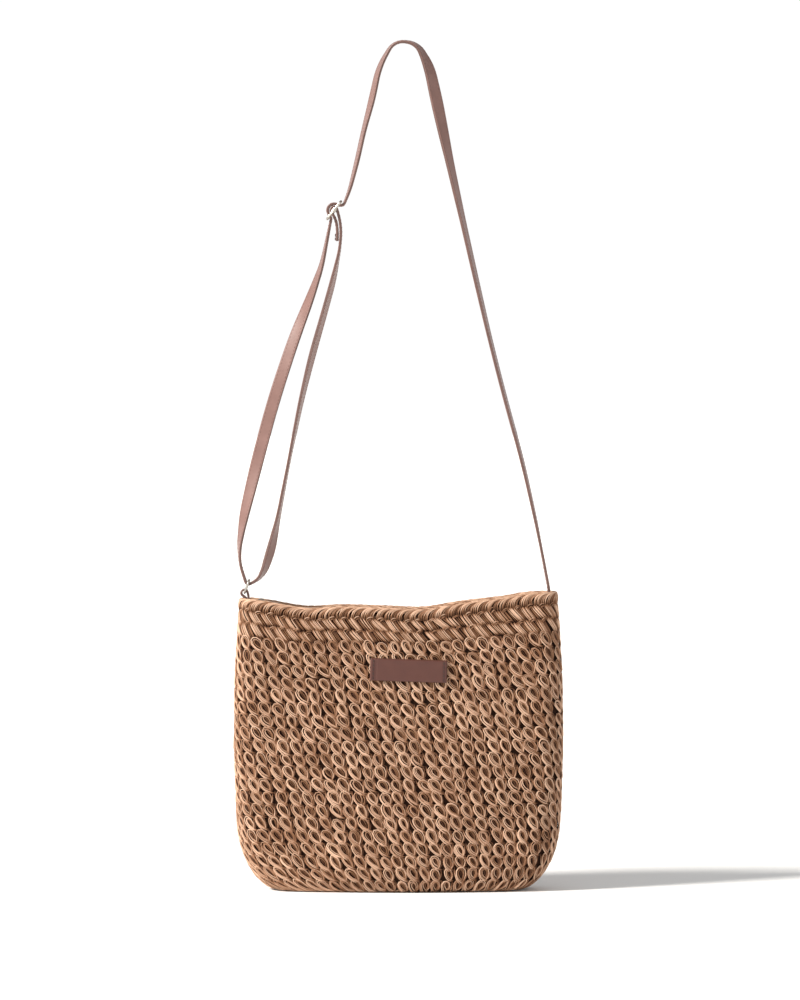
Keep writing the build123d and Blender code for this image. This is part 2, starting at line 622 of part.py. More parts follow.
if __name__ == "__main__":
    save(crochet_body(), "crochet_body")
    save(rim_edging(), "rim_edging")
    save(lining(), "lining")
    save(zip_facing(), "zip_facing")
    save(label(), "label")
    save(label_stitches(), "label_stitches")

    slider_left = SLIDER_REST - SLIDER_LENGTH / 2 - 2 * SOFT_GAP
    slider_right = SLIDER_REST + SLIDER_TRAVEL + SLIDER_LENGTH / 2 + SOFT_GAP
    save(end_tape(ZIP_LEFT, ZIP_MOVING_LEFT - SOFT_GAP, ZIP_LEFT, slider_left + 0.1), "zip_end_tape_left")
    save(end_tape(ZIP_MOVING_RIGHT + SOFT_GAP, ZIP_RIGHT, slider_right, ZIP_RIGHT), "zip_end_tape_right")
    fixed_teeth = []
    for end_side in (-1, 1):
        fixed_teeth += teeth(SLIDER_REST - SLIDER_LENGTH / 2, ZIP_MOVING_LEFT - SOFT_GAP, end_side)
        fixed_teeth += teeth(ZIP_MOVING_RIGHT + SOFT_GAP, slider_right - SOFT_GAP, end_side)
    save(ZIP_FRAME * joined(fixed_teeth), "zip_end_teeth")
    for name, half_side in (("front", -1), ("rear", 1)):
        save(moving_tape(half_side), f"zip_tape_{name}")
        row_of_teeth = teeth(ZIP_MOVING_LEFT, ZIP_MOVING_RIGHT, half_side)
        save(ZIP_FRAME * joined(row_of_teeth), f"zip_teeth_{name}")
    save(top_stops(), "zip_top_stops")
    save(bottom_stop(), "zip_bottom_stop")
    save(ZIP_FRAME * Pos(SLIDER_REST, 0, 0) * slider(), "zip_slider")
    save(ZIP_FRAME * Pos(SLIDER_REST, 0, pull_height()) * Rot(0, PULL_DROOP_DEG, 0) * pull(), "zip_pull")

    save(strap_and_ends(), "strap")
    save(strap_root(), "strap_root")
    save(strap_end_stitches(), "strap_end_stitches")
    save(ring_tab(), "ring_tab")
    save(tab_root(), "tab_root")
    save(strap_ring(), "strap_ring")
    save(buckle_frame(), "buckle_frame")
    save(buckle_bar(), "buckle_bar")
    for label_text, point in (("tab pivot", TAB_PIVOT), ("strap pivot", STRAP_PIVOT), ("ring foot", RING_FOOT),
                              ("ring head", RING_HEAD), ("buckle bar", BUCKLE_CENTRE)):
        print(label_text, [round(v, 3) for v in point])
    print("zip height", ZIP_HEIGHT, "pull height", round(pull_height(), 3))
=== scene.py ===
"""Crossbody purse of crocheted paper straw: every visible piece and finish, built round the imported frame."""

import json
import logging
import math
from dataclasses import dataclass, field
from enum import Enum
from typing import Sequence

import bmesh
import bpy
import numpy as np
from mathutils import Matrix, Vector

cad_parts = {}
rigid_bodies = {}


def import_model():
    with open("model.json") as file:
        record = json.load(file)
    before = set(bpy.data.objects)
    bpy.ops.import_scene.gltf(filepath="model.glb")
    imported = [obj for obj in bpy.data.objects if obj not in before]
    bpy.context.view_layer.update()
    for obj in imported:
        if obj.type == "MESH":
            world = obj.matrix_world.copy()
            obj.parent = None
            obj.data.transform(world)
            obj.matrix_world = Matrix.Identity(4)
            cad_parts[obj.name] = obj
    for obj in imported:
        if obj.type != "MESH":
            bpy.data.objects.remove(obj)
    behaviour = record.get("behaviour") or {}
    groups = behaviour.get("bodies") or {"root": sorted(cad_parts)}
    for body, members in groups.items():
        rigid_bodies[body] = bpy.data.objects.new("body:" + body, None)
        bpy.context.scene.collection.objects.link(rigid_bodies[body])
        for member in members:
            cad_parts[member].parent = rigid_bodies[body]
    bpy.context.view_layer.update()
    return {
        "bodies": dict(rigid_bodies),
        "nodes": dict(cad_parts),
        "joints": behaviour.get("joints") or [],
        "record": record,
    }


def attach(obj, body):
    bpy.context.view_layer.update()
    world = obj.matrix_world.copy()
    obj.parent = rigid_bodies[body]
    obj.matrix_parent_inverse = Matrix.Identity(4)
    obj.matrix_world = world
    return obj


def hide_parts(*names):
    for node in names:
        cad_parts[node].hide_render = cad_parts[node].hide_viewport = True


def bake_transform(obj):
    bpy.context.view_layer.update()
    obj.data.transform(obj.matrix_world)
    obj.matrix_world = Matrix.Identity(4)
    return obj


LOG = logging.getLogger("purse")
MM = 0.001

# The body's outside, in millimetres: sections are ovals of four arcs, as in the frame
BASE_HALF_WIDTH, BULGE_HALF_WIDTH, BULGE_HEIGHT, TOP_PINCH, SIDE_ROUND = 98.0, 134.0, 130.0, 5.0, 52.0
BASE_HALF_DEPTH, LOW_HALF_DEPTH, RIM_HALF_DEPTH, FACE_ROUND = 26.0, 38.5, 18.5, 30.0
END_ROUND_SHARE, END_ROUND_MIN = 0.62, 4.0
BODY_HEIGHT = 241.5
# The rim's drop under the body's height, at shares of the half width
RIM_WAVE = ((-1.2, 6.0), (-0.93, 6.2), (-0.79, 8.0), (-0.56, 13.0), (-0.34, 12.0), (-0.07, 13.0),
            (0.15, 13.8), (0.37, 9.2), (0.63, 5.0), (0.82, 1.3), (1.2, 0.2))
EDGING_HEIGHT = 7.0
ZIP_HEIGHT, ZIP_SLOPE = 226.3, math.radians(2.0)
# How far inside the surface the lining hangs, and how far its top stays under the zip's line
LINING_OUT, LINING_THICKNESS = 4.3, 0.7
UNDER_ZIP = 1.0


# ---------------------------------------------------------------- small helpers

def linear(code: str) -> tuple[float, float, float, float]:
    """Turns an sRGB hex value to a linear colour.

    Args:
        code: Six hex digits after a hash.

    Returns:
        Red, green, blue and alpha.
    """
    parts = [int(code[k:k + 2], 16) / 255 for k in (1, 3, 5)]
    values = [c / 12.92 if c <= 0.04045 else ((c + 0.055) / 1.055) ** 2.4 for c in parts]
    return values[0], values[1], values[2], 1.0


def add_node(tree: bpy.types.NodeTree, kind: str, settings: dict | None = None,
             values: dict | None = None, links: dict | None = None) -> bpy.types.Node:
    """Adds a shader node with its settings, socket values and incoming links.

    Args:
        tree: The material's node tree.
        kind: The node's type name.
        settings: Attributes of the node.
        values: Socket name or index to a constant.
        links: Socket name or index to the output that feeds it.

    Returns:
        The new node.
    """
    node = tree.nodes.new(kind)
    for name, value in (settings or {}).items():
        setattr(node, name, value)
    for name, value in (values or {}).items():
        node.inputs[name].default_value = value
    for name, output in (links or {}).items():
        tree.links.new(output, node.inputs[name])
    return node


def colour_ramp(tree: bpy.types.NodeTree, factor: bpy.types.NodeSocket,
                stops: Sequence[tuple[float, str]]) -> bpy.types.NodeSocket:
    """Adds a ramp over sRGB stops.

    Args:
        tree: The material's node tree.
        factor: The output that drives the ramp.
        stops: Position and hex colour of each stop.

    Returns:
        The ramp's colour output.
    """
    ramp = add_node(tree, "ShaderNodeValToRGB", links={"Fac": factor})
    elements = ramp.color_ramp.elements
    while len(elements) < len(stops):
        elements.new(0.5)
    for element, (place, code) in zip(elements, stops):
        element.position = place
        element.color = linear(code)
    return ramp.outputs["Color"]


def smoothstep(t: np.ndarray) -> np.ndarray:
    """A smooth rise from 0 to 1."""
    t = np.clip(t, 0.0, 1.0)
    return t * t * (3 - 2 * t)


def unit(v: np.ndarray) -> np.ndarray:
    """Vectors at length one along the last axis."""
    return v / np.maximum(np.linalg.norm(v, axis=-1, keepdims=True), 1e-12)


def smooth_points(controls: np.ndarray, count: int) -> np.ndarray:
    """Samples a Catmull-Rom curve through control points.

    Args:
        controls: Points along axis 0, any number of values each.
        count: How many samples.

    Returns:
        The samples along axis 0.
    """
    padded = np.concatenate([2 * controls[:1] - controls[1:2], controls, 2 * controls[-1:] - controls[-2:-1]])
    t = np.linspace(0, len(controls) - 1 - 1e-9, count)
    k = t.astype(int)
    f = (t - k)[:, None]
    p0, p1, p2, p3 = (padded[k + j] for j in range(4))
    curve = (2 * p0 - 5 * p1 + 4 * p2 - p3) * f**2 + (3 * p1 - p0 - 3 * p2 + p3) * f**3
    return 0.5 * (2 * p1 + (p2 - p0) * f + curve)


class MeshParts:
    """Collects vertices, faces and tints in millimetres, then makes one smooth object in metres."""

    end_taper = 0.55  # share of a yarn's radius that is left at its two ends

    def __init__(self) -> None:
        """Starts empty."""
        self.vertices: list[np.ndarray] = []
        self.tints: list[np.ndarray] = []
        self.faces: list[np.ndarray] = []
        self.count = 0

    def add(self, vertices: np.ndarray, faces: Sequence[np.ndarray], tint: np.ndarray | float = 0.5) -> None:
        """Adds vertices with the faces that index them.

        Args:
            vertices: N by 3, in millimetres.
            faces: Arrays of faces, each array with one number of corners.
            tint: One value, or one per vertex.
        """
        self.vertices.append(vertices)
        self.tints.append(np.broadcast_to(tint, (len(vertices),)))
        self.faces.extend(face + self.count for face in faces)
        self.count += len(vertices)

    def tubes(self, paths: np.ndarray, normals: np.ndarray, radius: np.ndarray | float, sides: int,
              tint: np.ndarray | float = 0.5) -> None:
        """Adds round yarns along many paths at once, each closed at both ends.

        Args:
            paths: Number of yarns by points by 3.
            normals: A vector across each point, of the same shape.
            radius: One value, one per yarn, or one per yarn and point.
            sides: Corners of the yarn's section.
            tint: One value, one per yarn, or one per yarn and point.
        """
        yarns, points = paths.shape[:2]
        along = unit(np.gradient(paths, axis=1))
        across = unit(np.cross(along, normals))
        up = np.cross(across, along)
        radius = np.asarray(radius, float)
        radius = radius.reshape(radius.shape + (1,) * (2 - radius.ndim))
        radii = np.broadcast_to(radius, (yarns, points)).copy()
        radii[:, 0] *= self.end_taper
        radii[:, -1] *= self.end_taper
        turn = 2 * math.pi * np.arange(sides) / sides
        ring = (np.cos(turn)[:, None] * across[:, :, None] + np.sin(turn)[:, None] * up[:, :, None])
        vertices = (paths[:, :, None] + radii[:, :, None, None] * ring).reshape(-1, 3)
        index = np.arange(yarns * points * sides).reshape(yarns, points, sides)
        nxt = np.roll(index, -1, axis=2)
        quads = np.stack([index[:, :-1], nxt[:, :-1], nxt[:, 1:], index[:, 1:]], axis=-1).reshape(-1, 4)
        tint = np.asarray(tint, float)
        tint = np.broadcast_to(tint[:, None] if tint.ndim == 1 else tint, (yarns, points))
        self.add(vertices, [quads, index[:, 0, ::-1], index[:, -1]], np.repeat(tint.ravel(), sides))

    def grid(self, points: np.ndarray, close_u: bool = False, close_v: bool = False,
             tint: np.ndarray | float = 0.5) -> None:
        """Adds a grid of quads.

        Args:
            points: U by V by 3.
            close_u: Whether the last row joins the first.
            close_v: Whether the last column joins the first.
            tint: One value, or one per point.
        """
        nu, nv = points.shape[:2]
        index = np.arange(nu * nv).reshape(nu, nv)
        a = index if close_u else index[:-1]
        b = np.roll(index, -1, axis=0) if close_u else index[1:]
        if not close_v:
            quads = np.stack([a[:, :-1], b[:, :-1], b[:, 1:], a[:, 1:]], axis=-1)
        else:
            quads = np.stack([a, b, np.roll(b, -1, axis=1), np.roll(a, -1, axis=1)], axis=-1)
        faces = [quads.reshape(-1, 4)]
        if close_v and not close_u:
            faces += [index[:1, ::-1], index[-1:]]
        self.add(points.reshape(-1, 3), faces, tint)

    def build(self, name: str, material: bpy.types.Material) -> bpy.types.Object:
        """Makes the object.

        Args:
            name: The piece's name.
            material: Its finish.

        Returns:
            The new object, in metres.
        """
        vertices = np.concatenate(self.vertices) * MM
        mesh = bpy.data.meshes.new(name)
        mesh.vertices.add(len(vertices))
        mesh.vertices.foreach_set("co", vertices.astype(np.float32).ravel())
        totals = np.concatenate([np.full(len(f), f.shape[1]) for f in self.faces])
        loops = np.concatenate([f.ravel() for f in self.faces])
        mesh.loops.add(len(loops))
        mesh.loops.foreach_set("vertex_index", loops.astype(np.int32))
        mesh.polygons.add(len(totals))
        starts = np.concatenate([[0], np.cumsum(totals)[:-1]])
        mesh.polygons.foreach_set("loop_start", starts.astype(np.int32))
        mesh.polygons.foreach_set("loop_total", totals.astype(np.int32))
        mesh.update(calc_edges=True)
        mesh.validate()
        mesh.attributes.new("tint", "FLOAT", "POINT").data.foreach_set(
            "value", np.concatenate(self.tints).astype(np.float32))
        mesh.shade_smooth()
        mesh.materials.append(material)
        piece = bpy.data.objects.new(name, mesh)
        bpy.context.scene.collection.objects.link(piece)
        return piece


def outward(piece: bpy.types.Object) -> None:
    """Turns every face of a piece to the outside."""
    work = bmesh.new()
    work.from_mesh(piece.data)
    bmesh.ops.recalc_face_normals(work, faces=work.faces)
    work.to_mesh(piece.data)
    work.free()


# ---------------------------------------------------------------- finishes

class Weave(Enum):
    """How a cloth's threads cross."""

    PLAIN = "plain"
    HERRINGBONE = "herringbone"


@dataclass(frozen=True)
class PaperStraw:
    """Twisted paper yarn, crocheted: matte and dry, with painted shade that darkens it where it dips and
    leaves it palest along its crests.
    """

    name: str = "paper_straw_crocheted"
    # Ramp stops: the dark end is mostly painted shade where the yarn dips, and the light end is the
    # painted-lit crests
    dark: str = "#361504"
    middle: str = "#8c6245"
    light: str = "#dab69b"
    gloss: float = 0.3
    twist_mm: float = 0.9  # width of one fold of the twisted paper; finer folds would not show
    patch_mm: float = 14.0  # a length of yarn that took the dye alike
    mottle: float = 0.35

    def make(self) -> bpy.types.Material:
        """Builds the material."""
        material = bpy.data.materials.new(self.name)
        material.use_nodes = True
        tree = material.node_tree
        shader = tree.nodes["Principled BSDF"]
        shader.inputs["Roughness"].default_value = 0.66
        shader.inputs["Specular IOR Level"].default_value = self.gloss
        place = add_node(tree, "ShaderNodeTexCoord").outputs["Object"]
        # The tint attribute holds a random tone per yarn and, on the crochet, painted shade set by how far the
        # yarn stands out
        tint = add_node(tree, "ShaderNodeAttribute", {"attribute_name": "tint"}).outputs["Fac"]
        patches = add_node(tree, "ShaderNodeTexNoise",
                           values={"Scale": 1 / (self.patch_mm * MM), "Detail": 2.0},
                           links={"Vector": place}).outputs["Fac"]
        fibres = add_node(tree, "ShaderNodeTexNoise",
                          values={"Scale": 1 / (self.twist_mm * MM), "Detail": 3.0},
                          links={"Vector": place}).outputs["Fac"]
        mixed = add_node(tree, "ShaderNodeMath", {"operation": "MULTIPLY_ADD"}, {1: self.mottle},
                         {0: patches, 2: tint})
        mixed = add_node(tree, "ShaderNodeMath", {"operation": "MULTIPLY_ADD"}, {1: self.mottle},
                         {0: fibres, 2: mixed.outputs[0]})
        shade = add_node(tree, "ShaderNodeMath", {"operation": "MULTIPLY"}, {1: 0.66}, {0: mixed.outputs[0]})
        stops = ((0.2, self.dark), (0.52, self.middle), (0.9, self.light))
        ramp = colour_ramp(tree, shade.outputs[0], stops)
        tree.links.new(ramp, shader.inputs["Base Color"])
        bump = add_node(tree, "ShaderNodeBump", values={"Strength": 0.55, "Distance": 0.15 * MM},
                        links={"Height": fibres})
        tree.links.new(bump.outputs["Normal"], shader.inputs["Normal"])
        return material


@dataclass(frozen=True)
class Leather:
    """Coated split leather, embossed: a satin skin with a fine grain and darker cut edges.

    The waxed thread is made the same way, with a finer grain that stands for its lay.
    """

    name: str
    base: str
    worn: str
    shade: str
    grain_mm: float = 0.8  # real grain is near 0.5 mm; drawn coarser so that it shows
    roughness: float = 0.42
    bump: float = 0.35

    def make(self) -> bpy.types.Material:
        """Builds the material."""
        material = bpy.data.materials.new(self.name)
        material.use_nodes = True
        tree = material.node_tree
        shader = tree.nodes["Principled BSDF"]
        shader.inputs["Roughness"].default_value = self.roughness
        shader.inputs["Coat Weight"].default_value = 0.12
        shader.inputs["Coat Roughness"].default_value = 0.35
        place = add_node(tree, "ShaderNodeTexCoord").outputs["Object"]
        turned = add_node(tree, "ShaderNodeMapping",
                          values={"Rotation": (0.3, 0.75, 0.2), "Scale": (1, 1, 0.35)},
                          links={"Vector": place}).outputs[0]
        grain = add_node(tree, "ShaderNodeTexVoronoi", {"feature": "DISTANCE_TO_EDGE"},
                         {"Scale": 1 / (self.grain_mm * MM)}, {"Vector": turned}).outputs["Distance"]
        patches = add_node(tree, "ShaderNodeTexNoise", values={"Scale": 1 / (9 * MM), "Detail": 3.0},
                           links={"Vector": place}).outputs["Fac"]
        tint = add_node(tree, "ShaderNodeAttribute", {"attribute_name": "tint"}).outputs["Fac"]
        mixed = add_node(tree, "ShaderNodeMath", {"operation": "MULTIPLY_ADD"}, {1: 0.5},
                         {0: patches, 2: tint})
        scaled = add_node(tree, "ShaderNodeMath", {"operation": "MULTIPLY"}, {1: 0.6}, {0: mixed.outputs[0]})
        stops = ((0.1, self.shade), (0.45, self.base), (0.8, self.worn))
        ramp = colour_ramp(tree, scaled.outputs[0], stops)
        tree.links.new(ramp, shader.inputs["Base Color"])
        bump = add_node(tree, "ShaderNodeBump", values={"Strength": self.bump, "Distance": 0.12 * MM},
                        links={"Height": grain})
        tree.links.new(bump.outputs["Normal"], shader.inputs["Normal"])
        return material


@dataclass(frozen=True)
class Cloth:
    """Polyester cloth, woven: soft and matte, with its threads showing as fine crossing ridges."""

    name: str
    base: str
    shade: str
    weave: Weave
    thread_mm: float = 0.7  # real threads are near 0.3 mm; drawn coarser so that they show
    waves_per_unit: float = 3.1  # bands that the wave texture draws in one unit at a scale of one

    def make(self) -> bpy.types.Material:
        """Builds the material."""
        material = bpy.data.materials.new(self.name)
        material.use_nodes = True
        tree = material.node_tree
        shader = tree.nodes["Principled BSDF"]
        shader.inputs["Roughness"].default_value = 0.8
        shader.inputs["Sheen Weight"].default_value = 0.2
        place = add_node(tree, "ShaderNodeTexCoord").outputs["Object"]
        scale = 1 / (self.thread_mm * MM) / self.waves_per_unit / 2
        turn = math.radians(45) if self.weave is Weave.HERRINGBONE else 0.0
        weft_axis = "Z" if self.weave is Weave.PLAIN else "Y"
        turned = add_node(tree, "ShaderNodeMapping", values={"Rotation": (0, 0, turn)},
                          links={"Vector": place}).outputs[0]
        warp, weft = (add_node(tree, "ShaderNodeTexWave", {"bands_direction": axis}, {"Scale": scale},
                               {"Vector": turned}).outputs["Fac"] for axis in ("X", weft_axis))
        threads = add_node(tree, "ShaderNodeMath", {"operation": "MULTIPLY"},
                           links={0: warp, 1: weft}).outputs[0]
        ramp = colour_ramp(tree, threads, ((0.0, self.shade), (0.8, self.base)))
        tree.links.new(ramp, shader.inputs["Base Color"])
        bump = add_node(tree, "ShaderNodeBump", values={"Strength": 0.4, "Distance": 0.1 * MM},
                        links={"Height": threads})
        tree.links.new(bump.outputs["Normal"], shader.inputs["Normal"])
        return material


@dataclass(frozen=True)
class FittingMetal:
    """Metal of the fittings, plated or bare, tumbled smooth: bright, with a light haze of wear."""

    name: str
    base: str = "#b5b0a8"
    roughness: float = 0.24
    haze: float = 0.12

    def make(self) -> bpy.types.Material:
        """Builds the material."""
        material = bpy.data.materials.new(self.name)
        material.use_nodes = True
        tree = material.node_tree
        shader = tree.nodes["Principled BSDF"]
        shader.inputs["Base Color"].default_value = linear(self.base)
        shader.inputs["Metallic"].default_value = 1.0
        place = add_node(tree, "ShaderNodeTexCoord").outputs["Object"]
        wear = add_node(tree, "ShaderNodeTexNoise", values={"Scale": 1 / (1.6 * MM), "Detail": 4.0},
                        links={"Vector": place}).outputs["Fac"]
        rough = add_node(tree, "ShaderNodeMath", {"operation": "MULTIPLY_ADD"},
                         {1: self.haze * 2, 2: self.roughness - self.haze / 2}, {0: wear})
        tree.links.new(rough.outputs[0], shader.inputs["Roughness"])
        bump = add_node(tree, "ShaderNodeBump", values={"Strength": 0.08, "Distance": 0.05 * MM},
                        links={"Height": wear})
        tree.links.new(bump.outputs["Normal"], shader.inputs["Normal"])
        return material


@dataclass(frozen=True)
class Finishes:
    """Every finish of the purse."""

    straw: bpy.types.Material
    straw_shade: bpy.types.Material
    strap: bpy.types.Material
    strap_thread: bpy.types.Material
    label: bpy.types.Material
    label_thread: bpy.types.Material
    lining: bpy.types.Material
    tape: bpy.types.Material
    nickel: bpy.types.Material
    casting: bpy.types.Material
    brass: bpy.types.Material

    @staticmethod
    def make() -> "Finishes":
        """Builds them all."""
        return Finishes(
            straw=PaperStraw().make(),
            # A near-black sheet just behind the open stitches: painted shade in the holes of the crochet
            straw_shade=PaperStraw("painted_shade_behind_stitches", "#160802", "#221006", "#331a0a", 0.1).make(),
            strap=Leather("coated_leather_strap", "#785850", "#8d6c64", "#533b34").make(),
            strap_thread=Leather("waxed_thread_strap", "#6f5048", "#826259", "#54392f", 0.5, 0.6).make(),
            label=Leather("coated_leather_label", "#502a20", "#5c3428", "#3e2018", 0.5, 0.45, 0.2).make(),
            label_thread=Leather("waxed_thread_label", "#4a2c24", "#5c3a30", "#38201a", 0.5, 0.6).make(),
            lining=Cloth("polyester_lining_woven", "#9a7a5f", "#6f543f", Weave.PLAIN).make(),
            tape=Cloth("zip_tape_woven", "#8f6c54", "#694c39", Weave.HERRINGBONE).make(),
            nickel=FittingMetal("nickel_plated_wire").make(),
            casting=FittingMetal("nickel_plated_casting", "#a9a49b", 0.32, 0.16).make(),
            brass=FittingMetal("aged_brass_teeth", "#946f50", 0.46, 0.2).make())


# ---------------------------------------------------------------- the body's surface

@dataclass
class PouchSurface:
    """The body's outside as a map from turn and height to a point and its outward normal, in millimetres.

    Turn runs from 0 to 1 round the body, from the middle of the rear by the left end to the front and on to
    the right. Height above zero is Z; below zero it is the way in from the base's edge, along the flat base.
    """

    base_reach: int = 25
    turns: int = 720
    top: int = 244
    rim_level: int = 235
    wave_samples: int = 400
    lowest: float = 0.55
    table: np.ndarray = field(init=False)
    normals: np.ndarray = field(init=False)

    def __post_init__(self) -> None:
        """Samples the ovals at every millimetre."""
        self.table = np.stack([self._oval(h) for h in range(-self.base_reach, self.top + 1)])
        along = np.roll(self.table, -1, axis=1) - np.roll(self.table, 1, axis=1)
        rise = np.gradient(self.table, axis=0)
        self.normals = unit(np.cross(along, rise))
        for _ in range(3):
            self.normals[1:-1] = unit(self.normals[:-2] + self.normals[2:] + self.normals[1:-1])

    @staticmethod
    def sizes(z: float) -> tuple[float, float, float]:
        """Half width, half depth and end radius at a height.

        Args:
            z: The height.

        Returns:
            The three sizes.
        """
        side = BULGE_HALF_WIDTH - TOP_PINCH * ((z - BULGE_HEIGHT) / (BODY_HEIGHT - BULGE_HEIGHT)) ** 2
        rise = 1 - min(z / SIDE_ROUND, 1.0)
        a = BASE_HALF_WIDTH + (side - BASE_HALF_WIDTH) * math.sqrt(1 - rise**2)
        face = LOW_HALF_DEPTH - (LOW_HALF_DEPTH - RIM_HALF_DEPTH) * (z / BODY_HEIGHT) ** 1.5
        rise = 1 - min(z / FACE_ROUND, 1.0)
        b = BASE_HALF_DEPTH + (face - BASE_HALF_DEPTH) * math.sqrt(1 - rise**2)
        return a, b, END_ROUND_SHARE * b + END_ROUND_MIN

    def _oval(self, h: float) -> np.ndarray:
        """One section, sampled evenly along its length.

        Args:
            h: The height, or minus the way in along the base.

        Returns:
            Points, one per turn step.
        """
        a, b, e = self.sizes(max(h, 0.0))
        if h < 0:
            a, e, b = a + h, e * max(b + h, 0.4) / b, max(b + h, 0.4)
        reach = a - e
        long_radius = (reach**2 + b**2 - e**2) / (2 * (b - e))
        half = math.atan2(reach, long_radius - b)
        end = math.pi / 2 - half
        face_arc, end_arc = half * long_radius, 2 * end * e
        lengths = np.cumsum([0, face_arc, end_arc, 2 * face_arc, end_arc, face_arc])
        s = np.arange(self.turns) / self.turns * lengths[-1]
        x = np.zeros(self.turns)
        y = np.zeros(self.turns)
        for k in range(5):
            part = (s >= lengths[k]) & (s < lengths[k + 1])
            if k in (0, 4):
                angle = (s[part] - (lengths[-1] if k == 4 else 0)) / long_radius
                x[part] = -long_radius * np.sin(angle)
                y[part] = long_radius * np.cos(angle) - (long_radius - b)
            elif k == 2:
                angle = (s[part] - lengths[2]) / long_radius - half
                x[part] = long_radius * np.sin(angle)
                y[part] = (long_radius - b) - long_radius * np.cos(angle)
            else:
                side = -1 if k == 1 else 1
                angle = (s[part] - lengths[k]) / e - end
                x[part] = side * (reach + e * np.cos(angle))
                y[part] = side * e * np.sin(angle)
        return np.stack([x, y, np.full(self.turns, max(h, 0.0))], axis=-1)

    def at(self, turn: np.ndarray, height: np.ndarray,
           out: np.ndarray | float) -> tuple[np.ndarray, np.ndarray]:
        """Points at a turn and height, moved outwards.

        Args:
            turn: Turns, of any shape.
            height: Heights of the same shape.
            out: How far outside the surface.

        Returns:
            The points and the outward normals.
        """
        u = np.mod(turn, 1.0) * self.turns
        v = np.clip(height + self.base_reach, 0, len(self.table) - 1.001)
        i, j = u.astype(int) % self.turns, v.astype(int)
        fu, fv = (u - u.astype(int))[..., None], (v - j)[..., None]
        i2 = (i + 1) % self.turns

        def blend(grid: np.ndarray) -> np.ndarray:
            """Interpolates one table."""
            low = grid[j, i] * (1 - fu) + grid[j, i2] * fu
            return low * (1 - fv) + (grid[j + 1, i] * (1 - fu) + grid[j + 1, i2] * fu) * fv

        normal = unit(blend(self.normals))
        points = blend(self.table) + normal * np.asarray(out)[..., None]
        points[..., 2] = np.maximum(points[..., 2], self.lowest)
        return points, normal

    def rim(self, turn: np.ndarray) -> np.ndarray:
        """Height of the wavy rim over each turn."""
        level = self.table[self.rim_level + self.base_reach, :, 0]
        x = np.interp(np.mod(turn, 1.0), np.arange(self.turns + 1) / self.turns, np.append(level, level[0]))
        curve = smooth_points(np.array(RIM_WAVE), self.wave_samples)
        return BODY_HEIGHT - np.interp(x / BULGE_HALF_WIDTH, curve[:, 0], curve[:, 1])

    def shell(self, parts: MeshParts, outs: tuple[float, float], top: float | None, columns: int,
              rows: int) -> None:
        """Adds a closed wall that follows the surface from the middle of the base to its top edge.

        Args:
            parts: What collects the mesh.
            outs: How far out the outer and the inner face lie.
            top: Distance of its top edge under the rim, or None for the slanted line of the zip.
            columns: Points round.
            rows: Points up.
        """
        turn = np.arange(columns) / columns
        if top is None:
            x = self.at(turn, np.full(columns, ZIP_HEIGHT), 0.0)[0][:, 0]
            edge = ZIP_HEIGHT - UNDER_ZIP - x * math.tan(ZIP_SLOPE)
        else:
            edge = self.rim(turn) - top
        share = np.linspace(0, 1, rows)
        height = -self.base_reach + (edge[:, None] + self.base_reach) * share[None, :]
        turns = np.broadcast_to(turn[:, None], height.shape)
        faces = []
        for k, out in enumerate(outs):
            points, _ = self.at(turns, height, out)
            points[..., 2] = np.where(height < 0, np.maximum(points[..., 2], -out), points[..., 2])
            faces.append(points if k == 0 else points[:, ::-1])
        parts.grid(np.concatenate(faces, axis=1), close_u=True, close_v=True)


# ---------------------------------------------------------------- crochet

